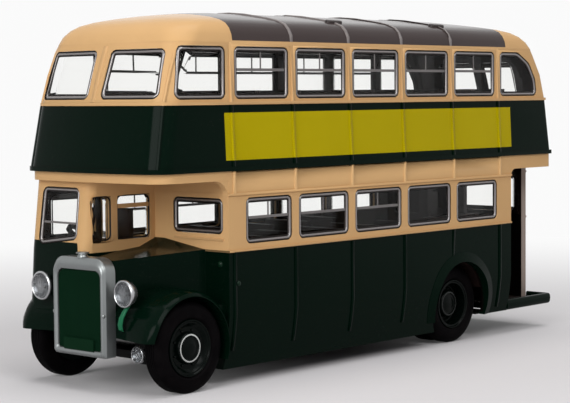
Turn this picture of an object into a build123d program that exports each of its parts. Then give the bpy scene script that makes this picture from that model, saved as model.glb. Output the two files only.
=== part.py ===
"""Die-cast scale model of a half-cab double decker bus with an open rear platform.

X runs forward, Y to the nearside, Z up from the road; sizes are millimetres of the model itself.
"""

import os

from build123d import *

os.makedirs("parts", exist_ok=True)

# Overall sizes
LENGTH = 104.0
WIDTH = 30.0
FRONT_OVERHANG = 9.2
REAR_OVERHANG = 28.75
WALL = 1.1
FIT = 0.06

# Heights above the road
SKIRT_BOTTOM = 2.5
PANEL_BOTTOM = 4.3
PLATFORM_FLOOR = 5.3
WING_FRONT_EDGE = 8.2
WING_STAY_TOP = 12.5
TURN_UNDER_TOP = 14.5
WAIST = 20.35

# Steps up from the waist to the gutter
WAIST_RAIL = 0.95
LOWER_LIGHT = 7.0
HEAD_RAIL = 2.7
CANOPY = 0.6
FLOOR = 0.8
BAND = 9.9
SILL_RAIL = 0.8
UPPER_LIGHT = 7.9
GUTTER_RAIL = 0.6

# Lengths along the body and its bays
CAB_LENGTH = 16.9
BULKHEAD_POST = 1.25
PLATFORM_LENGTH = 14.15
PLATFORM_POST = 3.5
REAR_WALL_INSET = 6.0
DOOR_RAIL = 1.7
BAY_COUNT = 5
PILLAR = 1.55
WINDOW_RADIUS = 1.0

# Body surface
BOW = 1.2
REAR_CORNER = 0.9
TURN_UNDER = 1.5
SKIRT_FLARE = 0.15
BEAD = 0.22
BEAD_WIDTH = 0.5
GLASS = 0.6
GLASS_RECESS = 0.3
FLOOR_RIM = 0.6
PLATFORM_RIM = 0.9

# Cab and bonnet
CAB_SIDE = -1.0
CAB_BOTTOM = 8.2
RADIATOR_WIDTH = 10.8
RADIATOR_TOP = 20.0
RADIATOR_BOTTOM = 5.3
RADIATOR_DEPTH = 2.4
BONNET_REAR_INSET = 4.8
SCUTTLE_LENGTH = 3.4
SCUTTLE_RISE = 1.5

# Wheels and axles
TYRE_RADIUS = 6.75
RIM_RADIUS = 4.3
FRONT_TYRE_WIDTH = 3.4
REAR_TYRE_WIDTH = 6.8
FRONT_WHEEL_INSET = 0.4
REAR_WHEEL_INSET = 2.0
ARCH_GAP = 0.85
ARCH_LIP = 1.0
WING_CORNER = 2.6
AXLE_RADIUS = 0.8
BEARING_GAP = 0.06
BEARING_WALL = 0.5

# Floors, seats and base
BASE_BOTTOM = 3.0
BASE_TOP = 4.2
BASE_NOSE_INSET = 6.0
BASE_NOSE_RISE = 1.5
FLOOR_GAP = 1.0
SEAT_PITCH = 9.2
SEAT_HEIGHT = 5.4
SEAT_BACK = 12.0
SEAT_GAP = 0.8
AISLE = 5.2
SCREW_PLACES = (24.0, -6.0)
SCREW_RADIUS = 0.95
SCREW_HEAD = 1.5
CAB_FLOOR_GAP = 2.3
STAIR_STEPS = 8
STAIR_RUN = 11.6
STAIR_WIDTH = 7.2

# Radiator and lamps
CORE_BORDER = 1.0
CORE_CROWN = 1.9
CORE_DEPTH = 1.5
SLAT_COUNT = 22
LAMP_SIDE = 9.3
LAMP_HEIGHT = 15.1
LAMP_RADIUS = 2.2

# Places worked out from the sizes above
HALF = WIDTH / 2
FRONT = LENGTH / 2
REAR = -LENGTH / 2
FRONT_AXLE = FRONT - FRONT_OVERHANG
REAR_AXLE = REAR + REAR_OVERHANG
BULKHEAD = FRONT - CAB_LENGTH
PLATFORM_EDGE = REAR + PLATFORM_LENGTH
FIRST_PILLAR = BULKHEAD - BULKHEAD_POST
BAY = (FIRST_PILLAR - PLATFORM_EDGE - PLATFORM_POST) / BAY_COUNT
PILLARS = [FIRST_PILLAR - BAY * i for i in range(BAY_COUNT + 1)]
REAR_WALL_EDGE = HALF - REAR_WALL_INSET
LOWER_SILL = WAIST + WAIST_RAIL
LOWER_HEAD = LOWER_SILL + LOWER_LIGHT
CANOPY_BOTTOM = LOWER_HEAD + HEAD_RAIL
DOOR_HEAD = LOWER_HEAD + DOOR_RAIL
FLOOR_SEAT = CANOPY_BOTTOM + CANOPY
BAND_BOTTOM = FLOOR_SEAT + FLOOR
BAND_TOP = BAND_BOTTOM + BAND
UPPER_SILL = BAND_TOP + SILL_RAIL
UPPER_HEAD = UPPER_SILL + UPPER_LIGHT
GUTTER = UPPER_HEAD + GUTTER_RAIL
ARCH_RADIUS = TYRE_RADIUS + ARCH_GAP
FRONT_WHEEL_FACE = HALF - FRONT_WHEEL_INSET
REAR_WHEEL_FACE = HALF - REAR_WHEEL_INSET
REAR_INNER = REAR_WHEEL_FACE - REAR_TYRE_WIDTH
BEARING_TOP = TYRE_RADIUS + AXLE_RADIUS + BEARING_GAP + BEARING_WALL
FLOOR_BOTTOM = BEARING_TOP + FLOOR_GAP
FLOOR_TOP = FLOOR_BOTTOM + FLOOR
FLOOR_HALF = HALF - WALL - 0.5
SEAT_SIDE = HALF - WALL - GLASS - SEAT_GAP
BASE_HALF = HALF - TURN_UNDER - WALL - 0.1
BASE_NOSE_HALF = HALF - BASE_NOSE_INSET
NOSE_BOTTOM = BASE_BOTTOM + BASE_NOSE_RISE
NOSE_TOP = BASE_TOP + BASE_NOSE_RISE
CAB_FLOOR = 2 * TYRE_RADIUS + CAB_FLOOR_GAP
RADIATOR_BACK = FRONT - RADIATOR_DEPTH
BONNET_FRONT_SIDE = RADIATOR_WIDTH / 2 + 0.1
BONNET_REAR_SIDE = HALF - BONNET_REAR_INSET
STAIR_TOP = PLATFORM_EDGE - 0.15
STAIR_OUTER = SEAT_SIDE + 0.1
STAIR_INNER = STAIR_OUTER - STAIR_WIDTH
CORE_WIDTH = RADIATOR_WIDTH - 2 * CORE_BORDER
CORE_TOP = RADIATOR_TOP - CORE_CROWN
LOWER_ROWS = [BULKHEAD - 8.9 - SEAT_PITCH * i for i in range(5)]
UPPER_ROWS = [FRONT - 15.5 - SEAT_PITCH * i for i in range(9)]

# Upper deck plans: height, side inset, front setback, rear setback, front corner, rear corner
BAND_PLAN = (BAND_BOTTOM, 0.0, 1.6, 0.0, 3.4, REAR_CORNER)
CANOPY_PLAN = (0.0, 2.1, 0.3, 3.4, REAR_CORNER)
WALL_PLANS = (
    BAND_PLAN,
    (BAND_TOP, 0.45, 3.45, 1.15, 3.4, REAR_CORNER),
    ((BAND_TOP + GUTTER) / 2, 0.5, 4.9, 2.5, 3.5, REAR_CORNER + 0.2),
    (GUTTER, 0.55, 6.6, 5.0, 4.0, REAR_CORNER + 1.1),
)
ROOF_PLANS = (
    WALL_PLANS[-1],
    (GUTTER + 1.2, 0.75, 7.2, 5.8, 4.4, 2.7),
    (GUTTER + 2.2, 1.25, 8.1, 6.8, 4.8, 3.5),
    (GUTTER + 2.95, 2.0, 9.2, 8.0, 5.4, 4.4),
    (GUTTER + 3.5, 3.3, 10.7, 9.7, 6.0, 5.4),
    (GUTTER + 3.95, 5.3, 12.8, 12.4, 6.2, 6.0),
    (GUTTER + 4.4, 8.1, 16.0, 16.3, 5.0, 5.0),
    (GUTTER + 4.8, 10.8, 20.5, 21.5, 3.0, 3.0),
    (GUTTER + 5.05, 13.8, 26.0, 27.5, 0.9, 0.9),
)
CROWN = ROOF_PLANS[-1][0]

# Cab plans: height, front of the cab
CAB_PLANS = (
    (CAB_BOTTOM, FRONT - 1.7),
    (WAIST, FRONT - 2.5),
    (CANOPY_BOTTOM, FRONT - 3.8),
)


def deck_plan(height, side, front, rear, front_corner, rear_corner):
    """Plan of a deck: straight sides, bowed ends and rounded corners."""
    half = HALF - side
    bow = BOW * half / HALF
    nose = FRONT - front
    tail = REAR + rear
    with BuildSketch(Plane.XY.offset(height)) as plan:
        with BuildLine():
            ThreePointArc((nose - bow, -half), (nose, 0), (nose - bow, half))
            Line((nose - bow, half), (tail + bow, half))
            ThreePointArc((tail + bow, half), (tail, 0), (tail + bow, -half))
            Line((tail + bow, -half), (nose - bow, -half))
        make_face()
        fillet(plan.vertices().group_by(Axis.X)[-1], front_corner)
        fillet(plan.vertices().group_by(Axis.X)[0], rear_corner)
    return plan.sketch


def hollow_plan(height, side, front, rear, front_corner, rear_corner):
    """Plan of the hollow inside a deck: the same outline with its corners cut."""
    half = HALF - side
    bow = BOW * half / HALF
    nose = FRONT - front
    tail = REAR + rear
    cut = 0.6 * front_corner
    clip = 0.6 * rear_corner
    ease = bow * ((half - cut) / half) ** 2
    slack = bow * ((half - clip) / half) ** 2
    near = [
        (nose, 0), (nose - ease, half - cut), (nose - bow - cut, half),
        (tail + bow + clip, half), (tail + slack, half - clip), (tail, 0),
    ]
    with BuildSketch(Plane.XY.offset(height)) as plan:
        with BuildLine():
            Polyline(*near, *[(x, -y) for x, y in reversed(near[1:-1])], close=True)
        make_face()
    return plan.sketch


def inset_plan(row, inset):
    """One row of the upper deck table drawn inside its own outline by the inset."""
    height, side, front, rear, *corners = row
    rise = max(0.0, (height - GUTTER) / (CROWN - GUTTER))
    level = inset * (1 - rise * rise)
    draw = hollow_plan if inset >= WALL else deck_plan
    eased = [max(corner - 0.6 * level, 0.15) for corner in corners]
    return draw(height - inset * rise, side + level, front + level, rear + level, *eased)


def ease_corners(corners, size, inset):
    """Round the corners of a skin in the current sketch, or cut those of a hollow."""
    if inset < WALL:
        fillet(corners, size)
    else:
        chamfer(corners, 0.6 * size)


def pane_blocks(outer, inner, prisms):
    """Raised panes that fill the window openings of a clear moulding."""
    with BuildPart() as blocks:
        add(prisms)
        add(outer, mode=Mode.INTERSECT)
        add(inner, mode=Mode.SUBTRACT)
    return blocks.part


def seat_rows(rows, floor, sides):
    """Bench seats across the deck, one on each of the sides at every row."""
    with BuildPart() as seats:
        for x in rows:
            with BuildSketch(Plane.XZ) as profile:
                with BuildLine():
                    Polyline(
                        (x, floor - 0.2), (x + 4.6, floor - 0.2), (x + 5.0, floor + SEAT_HEIGHT),
                        (x + 0.8, floor + SEAT_HEIGHT - 0.5), (x - 0.6, floor + SEAT_BACK),
                        (x - 1.7, floor + SEAT_BACK), (x - 0.4, floor + 3.0), close=True,
                    )
                make_face()
            for side in sides:
                extrude(profile.sketch, amount=SEAT_SIDE, dir=(0, side, 0))
        with Locations((0, 0, floor + SEAT_BACK)):
            Box(2 * LENGTH, AISLE, 4 * SEAT_BACK, mode=Mode.SUBTRACT)
    return seats.part


def wall_form(inset):
    """Walls of the upper deck from its bottom edge to the gutter."""
    with BuildPart() as form:
        loft([inset_plan(row, inset) for row in WALL_PLANS], ruled=True)
    return form.part


def roof_form(inset):
    """Domed roof above the gutter."""
    with BuildPart() as form:
        loft([inset_plan(row, inset) for row in ROOF_PLANS], ruled=True)
    return form.part


def saloon_form(inset, bottom, top):
    """Lower deck behind the bulkhead: upright sides turned under at the skirt."""
    half = HALF - inset
    foot = half - TURN_UNDER
    brow = half + SKIRT_FLARE
    knee = (brow - 0.25 * (brow - foot), (TURN_UNDER_TOP + bottom) / 2)
    tail = REAR + 0.3 + inset
    with BuildPart() as form:
        with BuildSketch(Plane.YZ.offset(BULKHEAD + FIT)):
            with BuildLine():
                Polyline((brow, TURN_UNDER_TOP), (brow, top), (-brow, top), (-brow, TURN_UNDER_TOP))
                Line((-foot, bottom), (foot, bottom))
                for side in (1, -1):
                    if inset < WALL:
                        TangentArc((side * brow, TURN_UNDER_TOP), (side * foot, bottom), tangent=(0, -1))
                    else:
                        Polyline(
                            (side * brow, TURN_UNDER_TOP), (side * knee[0], knee[1]), (side * foot, bottom),
                        )
            make_face()
        extrude(amount=2 * LENGTH, dir=(-1, 0, 0))
        with BuildSketch(Plane.XY) as plan:
            with BuildLine():
                Polyline(
                    (tail + BOW, half), (BULKHEAD - inset, half),
                    (BULKHEAD - inset, -half), (tail + BOW, -half),
                )
                if inset < WALL:
                    ThreePointArc((tail + BOW, -half), (tail, 0), (tail + BOW, half))
                else:
                    Polyline((tail + BOW, -half), (tail, 0), (tail + BOW, half))
            make_face()
            corners = plan.vertices().filter_by(lambda v: abs(v.Y) > half - 0.01).group_by(Axis.X)
            ease_corners(corners[0], max(REAR_CORNER - 0.6 * inset, 0.15), inset)
            ease_corners(corners[-1], 1.3 - 0.5 * inset, inset)
        extrude(amount=CROWN, dir=(0, 0, 1), mode=Mode.INTERSECT)
    return form.part


def cab_plan(height, front, inset):
    """Plan of the driver's cab on the offside."""
    back = BULKHEAD if inset > 0 else BULKHEAD - 0.5
    with BuildSketch(Plane.XY.offset(height)) as plan:
        with BuildLine():
            Polyline(
                (back, CAB_SIDE - inset), (front - inset, CAB_SIDE - inset),
                (front - inset - 0.5, inset - HALF), (back, inset - HALF), close=True,
            )
        make_face()
        ease_corners(plan.vertices().group_by(Axis.Y)[0].sort_by(Axis.X)[-1:], 2.4 - 0.6 * inset, inset)
        ease_corners(plan.vertices().group_by(Axis.Y)[-1].sort_by(Axis.X)[-1:], 1.7 - 0.6 * inset, inset)
    return plan.sketch


def cab_form(inset):
    """Driver's cab, drawn inside its own skin by the inset."""
    with BuildPart() as form:
        foot = cab_plan(CAB_BOTTOM - 2 * inset, CAB_PLANS[0][1], inset)
        loft([foot, *[cab_plan(height, front, inset) for height, front in CAB_PLANS[1:]]], ruled=True)
    return form.part


def bonnet_section(distance, side, top, rise, inset):
    """Cross section of the bonnet: a rounded nearside shoulder and a rise towards the cab."""
    foot = WING_FRONT_EDGE - inset
    wall = CAB_SIDE - 0.3 + inset
    with BuildSketch(Plane.YZ.offset(distance)) as section:
        with BuildLine():
            Polyline(
                (wall, foot), (side - inset, foot), (side - inset, top - inset),
                (wall + 2.4, top + rise - inset), (wall, top + rise - inset), close=True,
            )
        make_face()
        ease_corners(section.vertices().sort_by_distance((distance, side, top))[:1], 1.6 - 0.6 * inset, inset)
    return section.sketch


def bonnet_form(inset):
    """Bonnet from the radiator to the scuttle, which rises to the bulkhead."""
    back = BULKHEAD if inset > 0 else BULKHEAD - 0.4
    nose = RADIATOR_BACK + 0.02 - inset
    knee = BULKHEAD + SCUTTLE_LENGTH
    share = (nose - knee) / (nose - back)
    knee_side = BONNET_FRONT_SIDE + (BONNET_REAR_SIDE - BONNET_FRONT_SIDE) * share
    with BuildPart() as form:
        loft(
            [
                bonnet_section(nose, BONNET_FRONT_SIDE, RADIATOR_TOP - 0.4, 0.05, inset),
                bonnet_section(knee, knee_side, RADIATOR_TOP + 0.3, 0.3, inset),
                bonnet_section(back, BONNET_REAR_SIDE, RADIATOR_TOP + 0.5, SCUTTLE_RISE, inset),
            ],
            ruled=True,
        )
    return form.part


def pane(rear, front, sill, head, inset):
    """One rounded window opening in the current sketch."""
    with Locations(((rear + front) / 2, (sill + head) / 2)):
        RectangleRounded(front - rear - 2 * inset, head - sill - 2 * inset, WINDOW_RADIUS - inset)


def bay_panes(first, last, sill, head, inset):
    """A run of equal bay windows in the current sketch."""
    for i in range(first, last):
        pane(PILLARS[i + 1] + PILLAR / 2, PILLARS[i] - PILLAR / 2, sill, head, inset)


def shaped_pane(points, radius, inset):
    """A window with its own corner points in the current sketch."""
    with BuildSketch(mode=Mode.PRIVATE) as shape:
        Polygon(*points, align=None)
        fillet(shape.vertices(), radius)
        if inset > 0:
            offset(amount=-inset, kind=Kind.INTERSECTION)
    add(shape.sketch)


def upper_side_panes(inset):
    """Side windows of the upper deck, with the raked front bay and the curved rear light."""
    rear_edge = PILLARS[0] + PILLAR / 2 + 0.3
    last_edge = PILLARS[-1] - PILLAR / 2
    with BuildSketch(Plane.XZ) as panes:
        bay_panes(0, BAY_COUNT, UPPER_SILL, UPPER_HEAD, inset)
        shaped_pane(
            [
                (rear_edge, UPPER_SILL), (FRONT - 6.5, UPPER_SILL),
                (FRONT - 8.0, UPPER_HEAD), (rear_edge, UPPER_HEAD),
            ],
            WINDOW_RADIUS, inset,
        )
        shaped_pane(
            [
                (last_edge, UPPER_SILL), (REAR + 5.1, UPPER_SILL), (REAR + 5.6, UPPER_SILL + 3.0),
                (REAR + 7.6, UPPER_HEAD - 1.9), (REAR + 11.2, UPPER_HEAD), (last_edge, UPPER_HEAD),
            ],
            WINDOW_RADIUS, inset,
        )
    return panes.sketch


def upper_end_panes(inset):
    """One of the two front windows of the upper deck, nearside; the offside one is its mirror."""
    with BuildSketch(Plane.YZ) as panes:
        shaped_pane(
            [
                (1.3, UPPER_SILL + 0.1), (HALF - 2.1, UPPER_SILL + 0.1),
                (HALF - 2.8, UPPER_HEAD - 0.4), (1.5, UPPER_HEAD - 0.4),
            ],
            WINDOW_RADIUS, inset,
        )
    return panes.sketch


def lower_near_panes(inset):
    """Nearside windows of the lower deck."""
    with BuildSketch(Plane.XZ) as panes:
        pane(PILLARS[1] + PILLAR / 2, PILLARS[0] - 2.5, LOWER_SILL, LOWER_HEAD, inset)
        bay_panes(1, BAY_COUNT, LOWER_SILL, LOWER_HEAD, inset)
    return panes.sketch


def lower_off_panes(inset):
    """Offside windows of the lower deck and the cab door window."""
    with BuildSketch(Plane.XZ) as panes:
        bay_panes(0, BAY_COUNT, LOWER_SILL, LOWER_HEAD, inset)
        pane(BULKHEAD + 1.2, FRONT - 7.2, LOWER_SILL, LOWER_HEAD, inset)
    return panes.sketch


def cab_near_panes(inset):
    """Windows in the cab wall beside the bonnet."""
    with BuildSketch(Plane.XZ) as panes:
        pane(BULKHEAD + 1.0, BULKHEAD + 8.5, LOWER_SILL + 0.6, LOWER_HEAD + 0.4, inset)
        pane(BULKHEAD + 9.8, FRONT - 4.6, LOWER_SILL + 0.6, LOWER_HEAD + 0.4, inset)
    return panes.sketch


def windscreen_pane(inset):
    """Driver's windscreen."""
    with BuildSketch(Plane.YZ) as panes:
        shaped_pane(
            [
                (2.6 - HALF, LOWER_SILL - 0.3), (CAB_SIDE - 2.1, LOWER_SILL + 0.9),
                (CAB_SIDE - 2.3, CANOPY_BOTTOM - 1.0), (2.8 - HALF, CANOPY_BOTTOM - 1.0),
            ],
            1.2, inset,
        )
    return panes.sketch


def bulkhead_panes(inset):
    """Bulkhead windows beside the bonnet and behind the driver."""
    with BuildSketch(Plane.YZ) as panes:
        pane(CAB_SIDE + 4.1, HALF - 1.8, LOWER_SILL + 1.6, LOWER_HEAD, inset)
        pane(2.0 - HALF, CAB_SIDE - 1.6, LOWER_SILL + 1.6, LOWER_HEAD, inset)
    return panes.sketch


def tail_panes(inset):
    """Window in the lower deck's rear wall."""
    with BuildSketch(Plane.YZ) as panes:
        pane(6.0 - HALF, REAR_WALL_EDGE - 1.7, LOWER_SILL, LOWER_HEAD, inset)
    return panes.sketch


def tail_upper_panes(inset):
    """The two lights of the emergency window at the back of the upper deck."""
    with BuildSketch(Plane.YZ) as panes:
        pane(0.6, HALF - 6.6, UPPER_SILL - 0.4, UPPER_HEAD - 1.6, inset)
        pane(6.6 - HALF, -0.6, UPPER_SILL - 0.4, UPPER_HEAD - 1.6, inset)
    return panes.sketch


def rib_section():
    """Outline of a roof rib that stands proud of the domed roof."""
    points = []
    for height, side, *_ in ROOF_PLANS:
        rise = (height - GUTTER) / (CROWN - GUTTER)
        points.append((HALF - side + BEAD * (1 - rise * rise), height + BEAD * rise))
    with BuildSketch(Plane.YZ) as section:
        with BuildLine():
            Polyline(*points, *[(-y, z) for y, z in reversed(points)], close=True)
        make_face()
    return section.sketch


def corner_bead():
    """Slim upright bead over the joint of the front and side panels of the upper deck."""
    sections = []
    for height, side, front, _, corner, _ in WALL_PLANS:
        half = HALF - side
        reach = corner * (1 - 0.5 ** 0.5)
        back = BOW * ((half - corner) / half) ** 2 + reach
        with BuildSketch(Plane.XY.offset(height)) as section:
            with Locations((FRONT - front - back, half - reach)):
                RegularPolygon(BEAD_WIDTH / 2 + 0.05, 6)
        sections.append(section.sketch)
    with BuildPart() as bead:
        loft(sections, ruled=True)
    return bead.part


def bead_section():
    """Outline of a pillar bead that stands proud of the upper deck's walls."""
    points = [(HALF - side + BEAD, height) for height, side, *_ in WALL_PLANS]
    with BuildSketch(Plane.YZ) as section:
        with BuildLine():
            Polyline(*points, *[(-y, z) for y, z in reversed(points)], close=True)
        make_face()
    return section.sketch


with BuildPart() as roof:
    add(roof_form(0))
    rib = extrude(rib_section(), amount=BEAD_WIDTH / 2, both=True, mode=Mode.PRIVATE)
    add([Pos(x, 0, 0) * rib for x in PILLARS[1:BAY_COUNT]])
    for x in (PILLARS[2], PILLARS[4]):
        with BuildSketch(Plane.XY.offset(CROWN - 0.1)):
            with Locations((x, 0)):
                SlotOverall(4.4, 2.4)
    extrude(amount=0.6, taper=35)
    add(roof_form(WALL), mode=Mode.SUBTRACT)

with BuildPart() as upper_deck:
    add(wall_form(0))
    bead = extrude(bead_section(), amount=BEAD_WIDTH / 2, both=True, mode=Mode.PRIVATE)
    add([Pos(x, 0, 0) * bead for x in PILLARS])
    add(corner_bead())
    add(mirror(corner_bead(), about=Plane.XZ, mode=Mode.PRIVATE))
    extrude(inset_plan(BAND_PLAN, -0.3), amount=0.7, dir=(0, 0, 1))
    extrude(inset_plan(WALL_PLANS[1], -BEAD), amount=0.45, dir=(0, 0, 1))
    extrude(inset_plan(WALL_PLANS[-1], -BEAD), amount=0.35, dir=(0, 0, -1))
    add(wall_form(WALL), mode=Mode.SUBTRACT)
    extrude(upper_side_panes(0), amount=WIDTH, both=True, mode=Mode.SUBTRACT)
    extrude(upper_end_panes(0), amount=LENGTH, dir=(1, 0, 0), mode=Mode.SUBTRACT)
    mirrored_pane = mirror(upper_end_panes(0), about=Plane.XZ, mode=Mode.PRIVATE)
    extrude(mirrored_pane, amount=LENGTH, dir=(1, 0, 0), mode=Mode.SUBTRACT)
    extrude(tail_upper_panes(0), amount=LENGTH, dir=(-1, 0, 0), mode=Mode.SUBTRACT)
    add(roof.part)
upper_deck.part.label = "upper_deck"
export_step(upper_deck.part, "parts/upper_deck.step")


def wing(axle, outer, inner):
    """Mudguard over a front wheel with a rolled outer edge, from its outer side in to the inner side."""
    crown = ARCH_RADIUS + ARCH_LIP
    with BuildPart() as guard:
        with BuildSketch(Plane(origin=(axle, 0, TYRE_RADIUS), x_dir=(0, 1, 0), z_dir=(1, 0, 0))):
            with BuildLine():
                Polyline(
                    (inner, ARCH_RADIUS), (outer, ARCH_RADIUS), (outer, crown - 0.85),
                    (outer - 0.35, crown - 0.45), (outer - 1.1, crown - 0.12), (outer - 2.2, crown),
                    (inner, crown), close=True,
                )
            make_face()
        revolve(axis=Axis((axle, 0, TYRE_RADIUS), (0, 1, 0)))
        with Locations((axle, 0, WING_FRONT_EDGE)):
            Box(20, 4 * HALF, 20, align=(Align.MIN, Align.CENTER, Align.MAX), mode=Mode.SUBTRACT)
        with Locations((axle + 0.1, 0, PANEL_BOTTOM)):
            Box(20, 4 * HALF, 20, align=(Align.MAX, Align.CENTER, Align.MAX), mode=Mode.SUBTRACT)
        with BuildSketch(Plane.XY) as plan:
            with Locations((axle + crown + 0.1, 0)):
                Rectangle(20 + crown, 2 * outer + 0.2, align=(Align.MAX, Align.CENTER))
            fillet(plan.vertices().group_by(Axis.X)[-1], WING_CORNER)
        extrude(amount=20, dir=(0, 0, 1), mode=Mode.INTERSECT)
    return guard.part


def wheel_tunnel(axle, radius, inner, outer):
    """Round bar across the model at an axle, on both sides, to clear the wheels."""
    with BuildPart() as tunnel:
        with BuildSketch(Plane.XZ):
            with Locations((axle, TYRE_RADIUS)):
                Circle(radius)
        extrude(amount=outer, both=True)
        if inner > 0:
            with BuildSketch(Plane.XZ):
                with Locations((axle, TYRE_RADIUS)):
                    Circle(radius + 1)
            extrude(amount=inner, both=True, mode=Mode.SUBTRACT)
    return tunnel.part


with BuildPart() as lower_beads:
    for x in PILLARS:
        with Locations((x, 0, (PANEL_BOTTOM + WAIST) / 2 + 0.5)):
            Box(BEAD_WIDTH, WIDTH + 4, WAIST - PANEL_BOTTOM - 1)
        with Locations((x, 0, (LOWER_HEAD + 0.6 + BAND_BOTTOM) / 2)):
            Box(BEAD_WIDTH, WIDTH + 4, BAND_BOTTOM - LOWER_HEAD - 0.6)
    for z in (WAIST, LOWER_HEAD + 0.6):
        with Locations((0, 0, z)):
            Box(LENGTH + 4, WIDTH + 4, 0.35)
    add(saloon_form(-BEAD, SKIRT_BOTTOM, BAND_BOTTOM), mode=Mode.INTERSECT)

with BuildPart() as rear_arch:
    add(wheel_tunnel(REAR_AXLE, ARCH_RADIUS + ARCH_LIP, HALF - 1.9, HALF + 1))
    add(saloon_form(-0.45, SKIRT_BOTTOM, BAND_BOTTOM), mode=Mode.INTERSECT)
    with Locations((REAR_AXLE, 0, PANEL_BOTTOM - 5)):
        Box(30, WIDTH + 4, 10, mode=Mode.SUBTRACT)

with BuildPart() as lower_deck:
    add(saloon_form(0, SKIRT_BOTTOM, CANOPY_BOTTOM + 0.5))
    add(lower_beads.part)
    add(cab_form(0))
    add(bonnet_form(0))
    extrude(inset_plan((CANOPY_BOTTOM, *CANOPY_PLAN), 0), amount=BAND_BOTTOM - CANOPY_BOTTOM, dir=(0, 0, 1))
    with Locations((REAR_AXLE - LENGTH / 2, 0, PANEL_BOTTOM - 5)):
        Box(LENGTH, WIDTH + 4, 10, mode=Mode.SUBTRACT)
    add(rear_arch.part)
    add(saloon_form(WALL, SKIRT_BOTTOM - 3, FLOOR_SEAT), mode=Mode.SUBTRACT)
    add(cab_form(WALL), mode=Mode.SUBTRACT)
    add(bonnet_form(WALL), mode=Mode.SUBTRACT)
    extrude(inset_plan((FLOOR_SEAT, *CANOPY_PLAN), FLOOR_RIM), amount=2, dir=(0, 0, 1), mode=Mode.SUBTRACT)
    add(wing(FRONT_AXLE, HALF, BONNET_FRONT_SIDE - 0.4))
    add(mirror(wing(FRONT_AXLE, HALF, BONNET_FRONT_SIDE - 0.4), about=Plane.XZ, mode=Mode.PRIVATE))
    for side in (1, -1):
        with Locations((BULKHEAD + 0.5, side * (HALF - 2.6), (PANEL_BOTTOM + WING_STAY_TOP) / 2)):
            Box(2.2, 3.6, WING_STAY_TOP - PANEL_BOTTOM)
    with BuildSketch(Plane.XZ.offset(WALL - HALF)):
        with BuildLine():
            Polyline(
                (BULKHEAD - 0.5, CANOPY_BOTTOM - 2.6), (BULKHEAD, CANOPY_BOTTOM - 2.6),
                (BULKHEAD + 0.2, CANOPY_BOTTOM - 1.55), (BULKHEAD + 0.8, CANOPY_BOTTOM - 0.75),
                (BULKHEAD + 1.6, CANOPY_BOTTOM - 0.2), (BULKHEAD + 2.7, CANOPY_BOTTOM),
                (BULKHEAD + 2.7, CANOPY_BOTTOM + 0.4), (BULKHEAD - 0.5, CANOPY_BOTTOM + 0.4), close=True,
            )
        make_face()
    extrude(amount=WALL - 0.05, dir=(0, 1, 0))
    for axle in (FRONT_AXLE, REAR_AXLE):
        add(wheel_tunnel(axle, ARCH_RADIUS, 0, HALF + 2), mode=Mode.SUBTRACT)
    with BuildSketch(Plane.XZ.offset(-REAR_WALL_EDGE)):
        with Locations((PLATFORM_EDGE - 20, DOOR_HEAD / 2)):
            RectangleRounded(40, DOOR_HEAD, 1.4)
    extrude(amount=20, dir=(0, 1, 0), mode=Mode.SUBTRACT)
    extrude(lower_near_panes(0), amount=WIDTH, dir=(0, 1, 0), mode=Mode.SUBTRACT)
    extrude(lower_off_panes(0), amount=WIDTH, dir=(0, -1, 0), mode=Mode.SUBTRACT)
    with Locations((0, CAB_SIDE - 2.5, 0)):
        add(extrude(cab_near_panes(0), amount=4, dir=(0, 1, 0), mode=Mode.PRIVATE), mode=Mode.SUBTRACT)
    extrude(windscreen_pane(0), amount=LENGTH, dir=(1, 0, 0), mode=Mode.SUBTRACT)
    with Locations((BULKHEAD - 2, 0, 0)):
        add(extrude(bulkhead_panes(0), amount=4, dir=(1, 0, 0), mode=Mode.PRIVATE), mode=Mode.SUBTRACT)
    extrude(tail_panes(0), amount=LENGTH, dir=(-1, 0, 0), mode=Mode.SUBTRACT)
    with Locations((BULKHEAD - WALL / 2, 0, CAB_BOTTOM)):
        Box(
            2 * WALL, 2 * (BASE_NOSE_HALF + 0.2), 20,
            align=(Align.CENTER, Align.CENTER, Align.MAX), mode=Mode.SUBTRACT,
        )
    with Locations((RADIATOR_BACK + 5, 0, RADIATOR_TOP / 2 + FIT)):
        Box(10, RADIATOR_WIDTH + 2 * FIT, RADIATOR_TOP, mode=Mode.SUBTRACT)
lower_deck.part.label = "lower_deck"
export_step(lower_deck.part, "parts/lower_deck.step")

with BuildPart() as upper_glazing:
    add(wall_form(WALL + FIT))
    add(wall_form(WALL + FIT + GLASS), mode=Mode.SUBTRACT)
    with Locations((0, 0, (UPPER_SILL + UPPER_HEAD) / 2)):
        Box(LENGTH, WIDTH, UPPER_HEAD - UPPER_SILL + 1.4, mode=Mode.INTERSECT)
    front_pane = extrude(upper_end_panes(FIT), amount=LENGTH, dir=(1, 0, 0), mode=Mode.PRIVATE)
    add(
        pane_blocks(
            wall_form(GLASS_RECESS), wall_form(WALL + FIT + GLASS / 2),
            [
                extrude(upper_side_panes(FIT), amount=WIDTH, both=True, mode=Mode.PRIVATE),
                front_pane,
                mirror(front_pane, about=Plane.XZ, mode=Mode.PRIVATE),
                extrude(tail_upper_panes(FIT), amount=LENGTH, dir=(-1, 0, 0), mode=Mode.PRIVATE),
            ],
        )
    )
upper_glazing.part.label = "upper_glazing"
export_step(upper_glazing.part, "parts/upper_glazing.step")

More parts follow.
